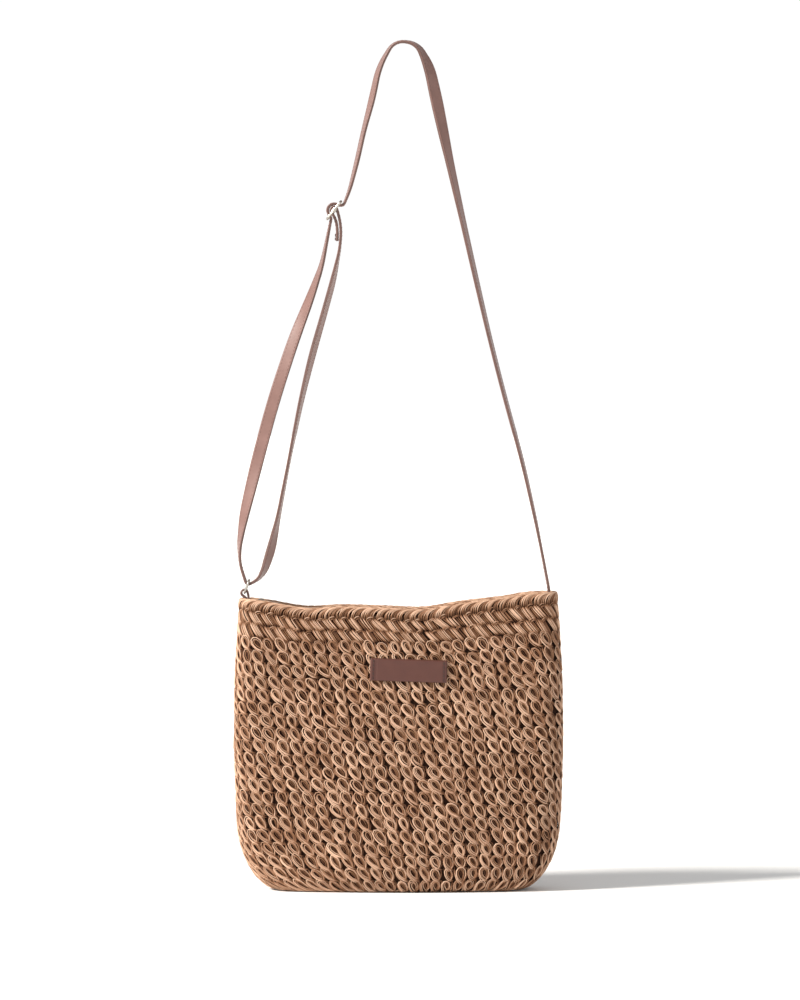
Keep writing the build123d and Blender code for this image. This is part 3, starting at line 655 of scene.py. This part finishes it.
@dataclass
class Crochet:
    """The crocheted body: rounds of open stitches, two dense rounds under the rim, and the plaited edging."""

    surface: PouchSurface
    finishes: Finishes
    stitches: int = 56
    rounds: int = 22
    dense_rounds: int = 2
    slant: float = 0.19
    yarn_radius: float = 0.42
    sides: int = 5
    rounds_per_piece: int = 4
    depth: float = -1.25
    relief: float = 0.85
    base_round: float = 10.5
    mean_wave: float = 8.3
    # Painted shade: how far inside the surface the two faces of the dark sheet behind the holes lie, and how
    # far under the rim it stops
    shade_sheet: tuple[float, float] = (-2.5, -3.7)
    shade_sheet_top: float = 2.6
    rim_half: float = 1.75
    plait_foot: float = 8.4
    plait_rise: float = 9.3
    seed: int = 11

    # Loops of the plait: where each starts along the stitch, and how far it is sunk
    loops: tuple = ((0.0, 0.0), (0.13, 0.0), (0.26, 0.0), (0.39, 0.1), (0.54, 0.6), (0.70, 0.75), (0.86, 0.6))
    # One loop: along the rim in stitches, over the rim as a share, and outwards
    loop: tuple = ((0.0, 0.0, -1.0), (0.06, 0.08, 0.1), (0.28, 0.20, 0.6), (0.62, 0.31, 0.7),
                   (0.98, 0.38, 0.2), (1.16, 0.42, -0.8))
    # Where the running yarns lie over the rim, as shares
    runs: tuple = (0.36, 0.43, 0.5, 0.57, 0.64)

    # Yarns of one open stitch: how many samples, then points across and up as shares of the stitch, and
    # outwards in millimetres
    open_yarns: tuple = (
        (12, ((0.62, -0.16, -1.0), (0.78, 0.16, 0.2), (0.83, 0.56, 0.45), (0.66, 0.90, 0.5),
              (0.36, 1.02, 0.6), (0.09, 0.86, 0.65), (0.05, 0.56, 0.75), (0.20, 0.22, 0.85),
              (0.48, -0.01, 0.75), (0.80, -0.15, 0.1), (1.02, -0.19, -0.9))),
        (12, ((0.58, -0.06, -0.9), (0.71, 0.18, 0.1), (0.74, 0.54, 0.2), (0.59, 0.83, 0.3),
              (0.36, 0.93, 0.4), (0.17, 0.80, 0.5), (0.14, 0.55, 0.6), (0.29, 0.25, 0.7),
              (0.54, 0.06, 0.65), (0.84, -0.06, 0.0), (1.06, -0.10, -0.9))),
        (11, ((0.50, 0.06, -1.0), (0.63, 0.24, -0.2), (0.65, 0.52, -0.1), (0.53, 0.73, 0.0),
              (0.38, 0.82, 0.1), (0.25, 0.74, 0.2), (0.24, 0.54, 0.3), (0.38, 0.30, 0.4),
              (0.62, 0.13, 0.3), (0.92, 0.04, -0.4))),
        (8, ((-0.08, 0.98, -0.8), (-0.05, 0.68, 0.1), (0.04, 0.36, 0.55), (0.23, 0.08, 0.75),
             (0.46, -0.14, 0.4), (0.66, -0.24, -0.7))),
        (7, ((0.94, 0.96, -1.0), (0.92, 0.64, 0.0), (0.87, 0.34, 0.3), (0.76, 0.06, 0.4),
             (0.64, -0.16, -0.4))),
        (6, ((0.62, -0.06, -0.9), (0.82, 0.08, -0.3), (0.96, 0.26, -0.3), (1.04, 0.52, -0.8))),
        (6, ((0.96, 0.50, -1.0), (0.92, 0.30, -0.5), (0.84, 0.10, -0.4), (0.76, -0.12, -0.9))),
        (6, ((0.60, 1.04, -0.9), (0.78, 0.96, -0.3), (0.92, 0.84, -0.4), (1.02, 0.66, -0.9))),
        (5, ((0.32, 0.84, -1.0), (0.42, 0.56, -0.5), (0.58, 0.20, -0.9))),
        (5, ((0.44, 0.86, -1.1), (0.54, 0.56, -0.9), (0.64, 0.26, -1.1))))

    def dense_yarns(self) -> tuple:
        """Yarns of one closed stitch: a bundle that slopes down to the right."""
        bundle = tuple((8, ((x - 0.02, 0.96, -0.9), (x + 0.02, 0.78, 0.2 + lift),
                            (x + 0.16, 0.50, 0.6 + lift), (x + 0.36, 0.18, 0.6 + lift),
                            (x + 0.52, -0.06, -0.1), (x + 0.58, -0.16, -0.9)))
                       for x, lift in ((0.0, -0.1), (0.12, 0.15), (0.24, 0.25), (0.37, 0.15), (0.50, 0.0)))
        deep = tuple((7, ((x, 0.94, -0.9), (x + 0.06, 0.72, -0.35), (x + 0.24, 0.40, -0.1),
                          (x + 0.42, 0.12, -0.1), (x + 0.54, -0.10, -0.9))) for x in (0.62, 0.75, 0.88))
        cross = ((7, ((0.42, 0.70, -0.6), (0.56, 0.88, 0.25), (0.78, 1.0, 0.45), (0.98, 1.0, 0.1),
                      (1.1, 0.9, -0.9))),
                 (7, ((0.50, 0.56, -0.8), (0.66, 0.76, 0.0), (0.86, 0.88, 0.15), (1.06, 0.82, -0.9))))
        return bundle + deep + cross

    def edge(self, k: int, turn: np.ndarray) -> np.ndarray:
        """Height of the lower edge of round k: level low down, and along the rim's wave at the top."""
        if k <= 0:
            return np.full_like(turn, self.base_round * k)
        share = k / self.rounds
        rim = self.surface.rim(turn) - EDGING_HEIGHT
        mean = BODY_HEIGHT - self.mean_wave - EDGING_HEIGHT
        return share * mean + (rim - mean) * share**5

    def round(self, parts: MeshParts, k: int, yarns: tuple, rng: np.random.Generator) -> None:
        """Adds one round of stitches.

        Args:
            parts: What collects the mesh.
            k: The round, counted from the base's edge; below zero it lies on the base.
            yarns: The stitch.
            rng: Seeded random numbers.
        """
        n = self.stitches
        column = np.arange(n)[:, None]
        shift = -self.slant * k + rng.uniform(-0.04, 0.04)
        nudge = rng.normal(0, 0.045, (n, 2, 1))
        swell = rng.normal(1, 0.08, (n, 2, 1))
        lean = rng.normal(0, 0.08, (n, 1))
        for samples, controls in yarns:
            path = smooth_points(np.array(controls), samples)
            wander = rng.normal(0, 0.026, (n, 2, 1))
            x = 0.45 + (path[None, :, 0] - 0.45) * swell[:, 0] + nudge[:, 0] + wander[:, 0]
            y = 0.5 + (path[None, :, 1] - 0.5) * swell[:, 1] + nudge[:, 1] + wander[:, 1]
            x = x + lean * (y - 0.5)
            turn = (column + x + shift - self.slant * y) / n
            low, high = self.edge(k, turn), self.edge(k + 1, turn)
            height = low + (high - low) * y
            out = self.depth + path[None, :, 2] * self.relief + rng.normal(0, 0.09, (n, 1))
            points, normals = self.surface.at(turn, height, out)
            radius = self.yarn_radius * rng.uniform(0.84, 1.14, n)
            # Painted shade: each yarn is darker where it dips into the fabric and palest where it stands out,
            # with a random tone per stitch on top
            lit = smoothstep((path[None, :, 2] + 0.8) / 1.55) ** 1.4
            tint = 0.02 + 0.5 * lit + 0.5 * rng.uniform(0, 1, (n, 1)) * (0.25 + 0.75 * lit)
            parts.tubes(points, normals, radius, self.sides, tint)

    def edging(self, parts: MeshParts, rng: np.random.Generator) -> None:
        """Adds the plait over the rim: sloping loops on both faces, and running yarns along its top.

        Args:
            parts: What collects the mesh.
            rng: Seeded random numbers.
        """
        n = self.stitches
        column = np.arange(n)[:, None]

        def over_rim(turn: np.ndarray, share: np.ndarray) -> tuple[np.ndarray, np.ndarray]:
            """Points on the rounded rim: share 0 is outside low, 0.5 the top, 1 inside low."""
            angle = math.pi * np.broadcast_to(share, turn.shape)
            out = self.rim_half * (np.cos(angle) - 1)
            height = self.surface.rim(turn) - self.plait_foot + self.plait_rise * np.sin(angle) ** 0.55
            points, normals = self.surface.at(turn, height, out)
            up = np.array([0, 0, 1.0])
            lean = unit(normals * np.cos(angle)[..., None] + up * np.sin(angle)[..., None])
            return points, lean

        path = smooth_points(np.array(self.loop), 9)
        for share in (path[:, 1], 1 - path[:, 1]):
            for start, sunk in self.loops:
                turn = (column + start + path[None, :, 0] + rng.normal(0, 0.05, (n, 1))) / n
                points, lean = over_rim(turn, share)
                points = points + lean * (path[:, 2][None, :, None] * 0.7 - 0.35 - sunk)
                # Painted shade: each loop is darker where it dips, and sunk loops are darker still, with a
                # random tone per loop
                lit = smoothstep((path[None, :, 2] + 1.0) / 1.5)
                parts.tubes(points, lean, self.yarn_radius * rng.uniform(1.0, 1.3, n), self.sides,
                            0.1 + (0.55 - 0.5 * sunk) * lit + 0.35 * rng.uniform(0, 1, (n, 1)))
        along = np.linspace(-0.08, 1.08, 12)
        arch = np.sin(math.pi * np.clip(along, 0, 1))[None, :, None]
        for place in self.runs:
            turn = (column + along[None, :] + rng.uniform(0, 1)) / n
            points, lean = over_rim(turn, place + 0.03 * (along - 0.5))
            points = points + lean * (arch * 0.9 - 0.75)
            parts.tubes(points, lean, self.yarn_radius * 1.2, self.sides, rng.uniform(0.45, 1, n))

    def build(self) -> list[bpy.types.Object]:
        """Makes the rounds in bands, the base, the edging and the painted shade sheet behind the open
        stitches.
        """
        rng = np.random.default_rng(self.seed)
        pieces = []
        inner = MeshParts()
        # Painted shade: a dark closed sheet just inside the stitches darkens every hole
        self.surface.shell(inner, self.shade_sheet, self.shade_sheet_top, columns=224, rows=90)
        shade_sheet = inner.build("crochet_painted_shade_sheet", self.finishes.straw_shade)
        outward(shade_sheet)
        pieces.append(shade_sheet)
        for first in range(0, self.rounds, self.rounds_per_piece):
            parts = MeshParts()
            for k in range(first, min(first + self.rounds_per_piece, self.rounds)):
                dense = k >= self.rounds - self.dense_rounds
                self.round(parts, k, self.dense_yarns() if dense else self.open_yarns, rng)
            pieces.append(parts.build(f"crochet_rounds_{first + 1:02d}", self.finishes.straw))
        base = MeshParts()
        for k in (-1, -2):
            self.round(base, k, self.dense_yarns(), rng)
        pieces.append(base.build("crochet_base", self.finishes.straw))
        for piece in pieces:
            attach(piece, "bag")
            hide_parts("crochet_body")
        plait = MeshParts()
        self.edging(plait, rng)
        edging = plait.build("rim_plait", self.finishes.straw)
        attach(edging, "bag")
        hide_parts("rim_edging")
        return pieces + [edging]


# ---------------------------------------------------------------- lining and zip cloth

@dataclass
class Inside:
    """The lining pouch, the facing round the zip and the zip's tapes."""

    surface: PouchSurface
    finishes: Finishes
    left: float = -119.3
    right: float = 116.8
    window: float = 8.9
    band_thickness: float = 0.8
    tape_thickness: float = 0.7
    beside_teeth: float = 1.4
    bridge_half: float = 1.5
    bridge_thickness: float = 0.68

    # Each tape: node, body, its two ends along the zip, the sides of the teeth it lies on, and its far edge
    tapes: tuple = (
        ("zip_tape_front", "zip_front", -95.2, 91.6, (-1,), 8.3),
        ("zip_tape_rear", "zip_rear", -95.2, 91.6, (1,), 8.3),
        ("zip_end_tape_left", "bag", -117.5, -95.5, (-1, 1), 8.6),
        ("zip_end_tape_right", "bag", 91.9, 115.0, (-1, 1), 8.6))
    # Where a fixed end's two sides are joined across the teeth
    bridges: dict[str, tuple[float, float]] = field(default_factory=lambda: {
        "zip_end_tape_left": (-117.5, -117.0), "zip_end_tape_right": (103.0, 115.0)})

    @staticmethod
    def in_zip_frame(points: np.ndarray) -> np.ndarray:
        """Turns points from the zip's own frame to the purse's."""
        x, y, z = (points[..., k] for k in range(3))
        c, s = math.cos(ZIP_SLOPE), math.sin(ZIP_SLOPE)
        return np.stack([c * x + s * z, y, ZIP_HEIGHT - s * x + c * z], axis=-1)

    def sheet(self, parts: MeshParts, x: np.ndarray, inner: np.ndarray, outer: np.ndarray,
              thickness: float) -> None:
        """Adds a strip of cloth with two faces and closed edges, in the zip's frame.

        Args:
            parts: What collects the mesh.
            x: Stations along the zip.
            inner: Its edge beside the teeth at each station.
            outer: Its far edge at each station.
            thickness: The cloth's thickness.
        """
        share = np.linspace(0, 1, 9)[None, :]
        y = inner[:, None] * (1 - share) + outer[:, None] * share
        xs = np.broadcast_to(x[:, None], y.shape)
        from_edge = np.minimum(share, 1 - share)
        half = thickness / 2 * np.sqrt(np.clip(from_edge / 0.12, 0.15, 1.0))
        half = np.broadcast_to(half, y.shape)
        upper = np.stack([xs, y, half], axis=-1)
        lower = np.stack([xs, y, -half], axis=-1)[:, ::-1]
        parts.grid(self.in_zip_frame(np.concatenate([upper, lower], axis=1)), close_v=True)

    def half_depth(self, x: np.ndarray) -> np.ndarray:
        """Half the depth of the space inside the lining's line at each station of the zip."""
        turn = np.linspace(0, 1, 1440, endpoint=False)
        section, _ = self.surface.at(turn, np.full(turn.shape, ZIP_HEIGHT), -LINING_OUT)
        front = section[section[:, 1] < 0]
        front = front[np.argsort(front[:, 0])]
        return np.interp(x, front[:, 0], -front[:, 1])

    def facing(self) -> MeshParts:
        """The band of lining cloth round the zip's window: two long sides and two short ends."""
        parts = MeshParts()
        x = np.linspace(self.left + 2.0, self.right - 2.0, 90)
        for side in (-1, 1):
            far = np.maximum(self.half_depth(x), self.window + 0.3)
            self.sheet(parts, x, side * np.full_like(x, self.window), side * far, self.band_thickness)
        for x0, x1 in ((self.left, self.left + 1.8), (self.right - 1.8, self.right)):
            ends = np.linspace(x0, x1, 4)
            far = np.maximum(self.half_depth(ends), 1.0)
            self.sheet(parts, ends, -far, far, self.band_thickness)
        return parts

    def tape(self, node: str, x0: float, x1: float, sides: Sequence[int], outer: float) -> MeshParts:
        """One of the zip's tapes.

        Args:
            node: The frame's node that it stands for.
            x0: Its left end along the zip.
            x1: Its right end.
            sides: The sides of the teeth that it lies on.
            outer: Its far edge.

        Returns:
            The mesh.
        """
        parts = MeshParts()
        x = np.linspace(x0, x1, max(8, int((x1 - x0) / 2)))
        for side in sides:
            near = np.full_like(x, side * self.beside_teeth)
            self.sheet(parts, x, near, np.full_like(x, side * outer), self.tape_thickness)
        if node in self.bridges:
            x = np.linspace(*self.bridges[node], 6)
            far = np.full_like(x, self.bridge_half)
            self.sheet(parts, x, -far, far, self.bridge_thickness)
        return parts

    @staticmethod
    def place(piece: bpy.types.Object, body: str, slot: str, node: str) -> bpy.types.Object:
        """Rides a piece on its body and puts it in the place of its frame node."""
        outward(piece)
        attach(piece, body)
        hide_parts(node)
        return piece

    def build(self) -> list[bpy.types.Object]:
        """Makes the lining, the facing and the four tapes."""
        pouch = MeshParts()
        outs = (-LINING_OUT - 0.05, -LINING_OUT - LINING_THICKNESS)
        self.surface.shell(pouch, outs, None, columns=180, rows=60)
        lining = pouch.build("lining_pouch", self.finishes.lining)
        pieces = [self.place(lining, "bag", "lining_cloth", "lining")]
        facing = self.facing().build("zip_facing_band", self.finishes.lining)
        pieces.append(self.place(facing, "bag", "lining_cloth", "zip_facing"))
        for node, body, *cut in self.tapes:
            tape = self.tape(node, *cut).build(node + "_cloth", self.finishes.tape)
            pieces.append(self.place(tape, body, "zip_tape", node))
        return pieces


# ---------------------------------------------------------------- label

@dataclass
class Label:
    """The bare leather label on the front: a plate with rolled edges that follows the body."""

    finishes: Finishes
    width: float = 62.0
    height: float = 18.0
    centre: tuple[float, float] = (8.1, 179.4)
    tilt: float = math.radians(1.9)
    foot: float = 0.25
    thickness: float = 1.65
    roll: float = 0.9
    stitch_inset: float = 2.6
    seam_depth: float = 0.28
    seam_width: float = 0.5
    crease_inset: float = 5.0
    crease_depth: float = 0.22
    crease_width: float = 0.35

    def build(self) -> bpy.types.Object:
        """Makes the label as one closed skin, drawn in along its two seams and one crease."""
        parts = MeshParts()
        across = np.linspace(-1, 1, 125)[:, None] * self.width / 2
        up = np.linspace(-1, 1, 41)[None, :] * self.height / 2
        across, up = np.broadcast_arrays(across, up)
        from_edge = np.minimum(self.width / 2 - np.abs(across), self.height / 2 - np.abs(up))
        soft = np.sqrt(np.clip(1 - (1 - np.clip(from_edge / self.roll, 0, 1)) ** 2, 0, 1))
        top = self.foot + self.thickness * (0.45 + 0.55 * soft)
        seam = np.abs(np.abs(across) - (self.width / 2 - self.stitch_inset))
        top = top - self.seam_depth * np.exp(-(seam / self.seam_width) ** 2) * smoothstep(from_edge)
        crease = np.abs(across + self.width / 2 - self.crease_inset)
        top = top - self.crease_depth * np.exp(-(crease / self.crease_width) ** 2)
        faces = []
        for k, out in enumerate((top, np.full_like(top, self.foot))):
            x = self.centre[0] + across * math.cos(self.tilt) + up * math.sin(self.tilt)
            z = self.centre[1] - across * math.sin(self.tilt) + up * math.cos(self.tilt)
            sizes = np.array([PouchSurface.sizes(v) for v in z.ravel()]).reshape(z.shape + (3,))
            a, b, e = sizes[..., 0], sizes[..., 1], sizes[..., 2]
            long_radius = ((a - e) ** 2 + b**2 - e**2) / (2 * (b - e))
            y = -(np.sqrt((long_radius + out) ** 2 - x**2) - (long_radius - b))
            points = np.stack([x, y, z], axis=-1)
            faces.append(points if k == 0 else points[:, ::-1])
        parts.grid(np.concatenate(faces, axis=1), close_v=True)
        piece = parts.build("label_leather", self.finishes.label)
        outward(piece)
        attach(piece, "bag")
        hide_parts("label")
        return piece


# ---------------------------------------------------------------- strap

@dataclass
class Ribbon:
    """A flat leather band along a route in the XZ plane, with rolled edges, a twist and edge stitching."""

    route: Sequence[tuple[float, float]]
    width: float
    thickness: float
    radii: dict[int, float] = field(default_factory=dict)
    twists: dict[int, float] = field(default_factory=dict)
    step: float = 2.2
    fit: float = 0.45  # share of the shorter run that a corner takes where its radius isn't given
    turn_step: float = 0.16

    def line(self) -> tuple[np.ndarray, np.ndarray]:
        """Rounds the route's corners.

        Returns:
            Points in the XZ plane, and the point index of each corner.
        """
        route = np.array(self.route)
        points = [route[0]]
        marks = [0]
        for k, (p, q, r) in enumerate(zip(route, route[1:], route[2:]), start=1):
            a, b = unit(q - p), unit(r - q)
            turn = math.acos(float(np.clip(a @ b, -1, 1)))
            run = min(np.linalg.norm(q - p), np.linalg.norm(r - q))
            radius = self.radii.get(k, self.fit * run / math.tan(turn / 2))
            cut = radius * math.tan(turn / 2)
            side = math.copysign(1.0, a[0] * b[1] - a[1] * b[0])
            start = q - a * cut
            centre = start + side * radius * np.array([-a[1], a[0]])
            count = max(3, int(max(radius * turn / self.step, turn / self.turn_step)) + 1)
            marks.append(len(points) + count // 2)
            for angle in np.linspace(0, turn * side, count):
                c, s = math.cos(angle), math.sin(angle)
                spoke = start - centre
                points.append(centre + np.array([c * spoke[0] - s * spoke[1], s * spoke[0] + c * spoke[1]]))
        points.append(route[-1])
        marks.append(len(points) - 1)
        return np.array(points), np.array(marks)

    def frames(self) -> tuple[np.ndarray, np.ndarray, np.ndarray, np.ndarray]:
        """Even stations along the band.

        Returns:
            Distances, points, and the directions across and out of its face.
        """
        line, marks = self.line()
        gaps = np.linalg.norm(np.diff(line, axis=0), axis=1)
        keep = np.concatenate([[True], gaps > 1e-6])
        distance = np.concatenate([[0], np.cumsum(gaps)])
        stations = [distance[0]]
        for a, b in zip(distance[:-1], distance[1:]):
            pieces = max(1, int((b - a) / self.step))
            if b - a > 1e-6:
                stations.extend(a + (b - a) * (j + 1) / pieces for j in range(pieces))
        s = np.array(stations)
        flat = np.stack([np.interp(s, distance[keep], line[keep, k]) for k in (0, 1)], axis=-1)
        tangent = unit(np.gradient(flat, axis=0))
        keys = sorted(self.twists) or [0]
        places = [distance[marks[k]] for k in keys]
        values = [math.radians(self.twists.get(k, 0.0)) for k in keys]
        twist = np.interp(s, places, values)
        kernel = np.hanning(15)
        twist = np.convolve(np.pad(twist, 7, mode="edge"), kernel / kernel.sum(), mode="valid")
        points = np.stack([flat[:, 0], np.zeros(len(s)), flat[:, 1]], axis=-1)
        ahead = np.stack([tangent[:, 0], np.zeros(len(s)), tangent[:, 1]], axis=-1)
        side = np.array([0.0, 1.0, 0.0])
        face = np.cross(ahead, side)
        across = np.cos(twist)[:, None] * side + np.sin(twist)[:, None] * face
        return s, points, across, np.cross(ahead, across)

    def band(self, parts: MeshParts) -> None:
        """Adds the band's skin, a little domed, with rolled edges round a darker core line."""
        _, points, across, face = self.frames()
        w, t = self.width / 2, self.thickness / 2
        half = [(w - 1.5, -0.9 * t), (w - 0.6, -0.97 * t), (w - 0.15, -0.75 * t), (w, -0.25 * t),
                (w - 0.12, 0.0),
                (w, 0.25 * t), (w - 0.15, 0.75 * t), (w - 0.6, 0.97 * t), (w - 1.5, 0.9 * t)]
        section = np.array([(0, -t), *half, (0, t), *((-x, -y) for x, y in half)])
        skin = points[:, None] + section[None, :, :1] * across[:, None] + section[None, :, 1:] * face[:, None]
        core = np.abs(section[:, 1]) < 0.3 * t
        parts.grid(skin, close_v=True, tint=np.tile(np.where(core, 0.0, 0.62), len(points)))

    def stitching(self, parts: MeshParts, pitch: float = 3.2, inset: float = 1.6) -> None:
        """Adds a row of thread along both edges of both faces.

        Args:
            parts: What collects the mesh.
            pitch: From one stitch to the next.
            inset: How far from the edge.
        """
        s, points, across, face = self.frames()
        starts = np.arange(pitch, s[-1] - pitch, pitch)
        share = np.linspace(-0.36, 0.36, 4) * pitch
        rise = np.array([-0.14, 0.0, 0.0, -0.14])

        def sample(values: np.ndarray, at: np.ndarray) -> np.ndarray:
            """Interpolates vectors along the band."""
            return np.stack([np.interp(at, s, values[:, k]) for k in range(3)], axis=-1)

        at = starts[:, None] + share[None, :]
        middle, wide, out = (sample(values, at) for values in (points, across, face))
        for edge in (-1, 1):
            for front in (-1, 1):
                path = middle + edge * (self.width / 2 - inset) * wide
                path = path + front * (self.thickness / 2 * 0.9 + rise[None, :, None]) * out
                parts.tubes(path, out, 0.2, 5, 0.5)


@dataclass
class Strap:
    """The adjustable strap with its edge stitching, and the leather tab that holds the ring."""

    finishes: Finishes
    width: float = 10.5
    thickness: float = 2.3
    tab_width: float = 9.6
    tab_thickness: float = 1.8

    # Corners of the strap's route in X and Z, from the end below the buckle to the root at the right
    route: tuple = (
        (-49.59, 525.51), (-49.3, 532.12), (-50.2, 541.96), (-55.68, 551.52), (-50.44, 553.7),
        (-47.3, 542.26), (-46.4, 532.12), (-47.6, 518.45), (-52.7, 494.19), (-59.9, 468.17),
        (-69.9, 433.34), (-78.8, 396.73), (-88.6, 348.22), (-97.6, 301.04), (-103.2, 275.9),
        (-108.6, 259.14), (-113.48, 251.6), (-122.87, 246.59), (-128.6, 264.43), (-129, 278.99),
        (-125.4, 302.36), (-114.2, 348.22), (-101, 397.17), (-84.9, 445.68), (-70.6, 481.85),
        (-62, 506.1), (-58.4, 523.74), (-54.42, 543.74), (-62.65, 558.64), (-44.66, 553.63),
        (-39.4, 566.96), (-33.2, 591.21), (-27.9, 615.47), (-21.6, 638.84), (-15.8, 666.18),
        (-3.5, 687.13), (15, 685.37), (24.8, 666.18), (30.6, 639.72), (40.9, 591.21),
        (51.8, 542.7), (62.8, 494.19), (74.1, 445.68), (86.5, 397.17), (100.2, 348.22),
        (111, 300.15), (116.6, 271.49), (121.9, 243.6), (121.9, 237), (121.2, 229.6),
        (120.6, 221.6), (120.6, 205.6))
    # Radii at the buckle and the ring; every other corner is as round as its runs allow
    radii: dict[int, float] = field(default_factory=lambda: {
        3: 2.45, 4: 2.45, 17: 3.05, 27: 3.1, 28: 5.2, 29: 3.1})
    # How far the strap is turned from edge-on at some corners, in degrees
    twists: dict[int, float] = field(default_factory=lambda: {
        0: 0, 7: 0, 8: 18, 10: 24, 11: 14, 12: 4, 13: 10, 14: 40, 15: 26, 16: 0, 18: 0, 19: 14,
        20: 42, 21: 72, 22: 76, 23: 58, 24: 34, 25: 12, 26: 6, 27: 0, 29: 0, 30: 8, 31: 14, 32: 14,
        33: 24, 34: 18, 35: 4, 36: 10, 37: 52, 38: 66, 39: 34, 40: 20, 42: 12, 44: 10, 45: 6, 46: 0,
        51: 0})

    # Corners of the tab's route: up from its root, round the ring and down again
    tab_route: tuple = (
        (-117.6, 206), (-117.8, 220), (-119.7, 226.5), (-121.5, 232.5), (-121.5, 237.9),
        (-122.25, 241.4), (-123.3, 243.35), (-126.8, 243.05), (-127.75, 239.8), (-123.2, 236.4),
        (-123.2, 232.5), (-121.4, 226.5), (-119.5, 220), (-119.3, 206))

    # Heights between which each leather turns from the mouth's edge to the swinging strap, in metres
    strap_bend: tuple[float, float] = (0.2345, 0.2460)
    tab_bend: tuple[float, float] = (0.2325, 0.2405)

    def build(self) -> list[bpy.types.Object]:
        """Makes the strap, its stitching and the tab, each along its route past the mouth's corner."""
        strap = Ribbon(self.route, self.width, self.thickness, self.radii, self.twists)
        tab = Ribbon(self.tab_route, self.tab_width, self.tab_thickness, step=1.2)
        leather, thread = self.finishes.strap, self.finishes.strap_thread
        jobs = (("strap_band", strap.band, leather, "strap_leather", ("strap", "strap_root"), self.strap_bend),
                ("strap_stitching", strap.stitching, thread, "strap_thread", (), self.strap_bend),
                ("tab_band", tab.band, leather, "strap_leather", ("ring_tab", "tab_root"), self.tab_bend))
        pieces = []
        for name, shape, finish, slot, nodes, (low, high) in jobs:
            parts = MeshParts()
            shape(parts)
            piece = parts.build(name, finish)
            if nodes:
                outward(piece)
                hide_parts(*nodes)
            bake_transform(piece)
            pieces.append(piece)
        return pieces


# ---------------------------------------------------------------- carried-over hardware

class Hardware:
    """The frame's own metal pieces and threads, dressed with their finishes."""

    def __init__(self, frame: dict, finishes: Finishes) -> None:
        """Keeps the frame and the finishes."""
        self.frame = frame
        self.finishes = finishes

    def dress(self) -> int:
        """Gives each carried-over node its finish.

        Returns:
            How many nodes were dressed.
        """
        by_finish = {
            "nickel": ("strap_ring", "buckle_frame", "buckle_bar"),
            "casting": ("zip_slider", "zip_pull"),
            "brass": ("zip_end_teeth", "zip_teeth_front", "zip_teeth_rear", "zip_top_stops",
                      "zip_bottom_stop"),
            "label_thread": ("label_stitches",),
            "strap_thread": ("strap_end_stitches",)}
        count = 0
        for finish, nodes in by_finish.items():
            for node in nodes:
                for slot in self.frame["nodes"][node].material_slots:
                    slot.material = getattr(self.finishes, finish)
                count += 1
        return count


# ---------------------------------------------------------------- studio

@dataclass
class Studio:
    """A plain pale floor, soft light from the left and a long lens a little above the table."""

    distance: float = 4.0
    elevation: float = math.radians(1.8)
    aim: tuple[float, float, float] = (0.0012, 0.0, 0.316)
    view_height: float = 0.81
    sensor: float = 36.0
    horizon_light: float = 1.02
    dome_light: float = 0.46
    horizon_top: float = 0.12
    dome_foot: float = 0.45
    key_strength: float = 5.2
    key_softness: float = math.radians(12)
    key_from: tuple[float, float, float] = (-1.0, -0.46, 0.8)

    def camera(self) -> None:
        """Makes the camera."""
        data = bpy.data.cameras.new("camera")
        data.sensor_width = self.sensor
        data.lens = self.sensor * self.distance / self.view_height
        data.clip_end = 100
        camera = bpy.data.objects.new("camera", data)
        aim = Vector(self.aim)
        away = Vector((0, -math.cos(self.elevation), math.sin(self.elevation)))
        camera.location = aim + self.distance * away
        camera.rotation_euler = (aim - camera.location).to_track_quat("-Z", "Y").to_euler()
        bpy.context.scene.collection.objects.link(camera)
        bpy.context.scene.camera = camera

    def build(self) -> None:
        """Makes the floor, the key light and the soft surrounding light."""
        scene = bpy.context.scene
        scene.view_settings.view_transform = "Standard"
        bpy.ops.mesh.primitive_plane_add(size=40, location=(0, 0, 0))
        floor = bpy.context.object
        floor.name = "floor"
        material = bpy.data.materials.new("matt_white_board")
        material.use_nodes = True
        shader = material.node_tree.nodes["Principled BSDF"]
        shader.inputs["Base Color"].default_value = linear("#fcfcfb")
        shader.inputs["Roughness"].default_value = 0.9
        floor.data.materials.append(material)
        world = bpy.data.worlds.new("studio")
        world.use_nodes = True
        tree = world.node_tree
        direction = add_node(tree, "ShaderNodeTexCoord").outputs["Generated"]
        rise = add_node(tree, "ShaderNodeSeparateXYZ", links={"Vector": direction}).outputs["Z"]
        dome = add_node(tree, "ShaderNodeMapRange", {"interpolation_type": "SMOOTHSTEP"},
                        {"From Min": self.horizon_top, "From Max": self.dome_foot,
                         "To Min": self.horizon_light, "To Max": self.dome_light}, {"Value": rise})
        tree.links.new(dome.outputs["Result"], tree.nodes["Background"].inputs["Strength"])
        tree.nodes["Background"].inputs["Color"].default_value = (1.0, 1.0, 1.0, 1.0)
        scene.world = world
        sun = bpy.data.lights.new("key", "SUN")
        sun.energy = self.key_strength
        sun.angle = self.key_softness
        sun.color = linear("#fffaf4")[:3]
        key = bpy.data.objects.new("key", sun)
        key.rotation_euler = Vector(self.key_from).to_track_quat("Z", "Y").to_euler()
        scene.collection.objects.link(key)
        self.camera()


# ---------------------------------------------------------------- the whole

def main() -> None:
    """Builds every sub-assembly in order and logs the faces of each new piece and how many frame nodes were
    dressed.
    """
    logging.basicConfig(level=logging.INFO, format="%(name)s: %(message)s")
    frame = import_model()
    Studio().build()
    finishes = Finishes.make()
    surface = PouchSurface()
    pieces = Crochet(surface, finishes).build()
    pieces += Inside(surface, finishes).build()
    pieces.append(Label(finishes).build())
    pieces += Strap(finishes).build()
    for piece in pieces:
        LOG.info("%s: %d faces", piece.name, len(piece.data.polygons))
    LOG.info("%d frame nodes dressed", Hardware(frame, finishes).dress())


if __name__ == "__main__":
    main()
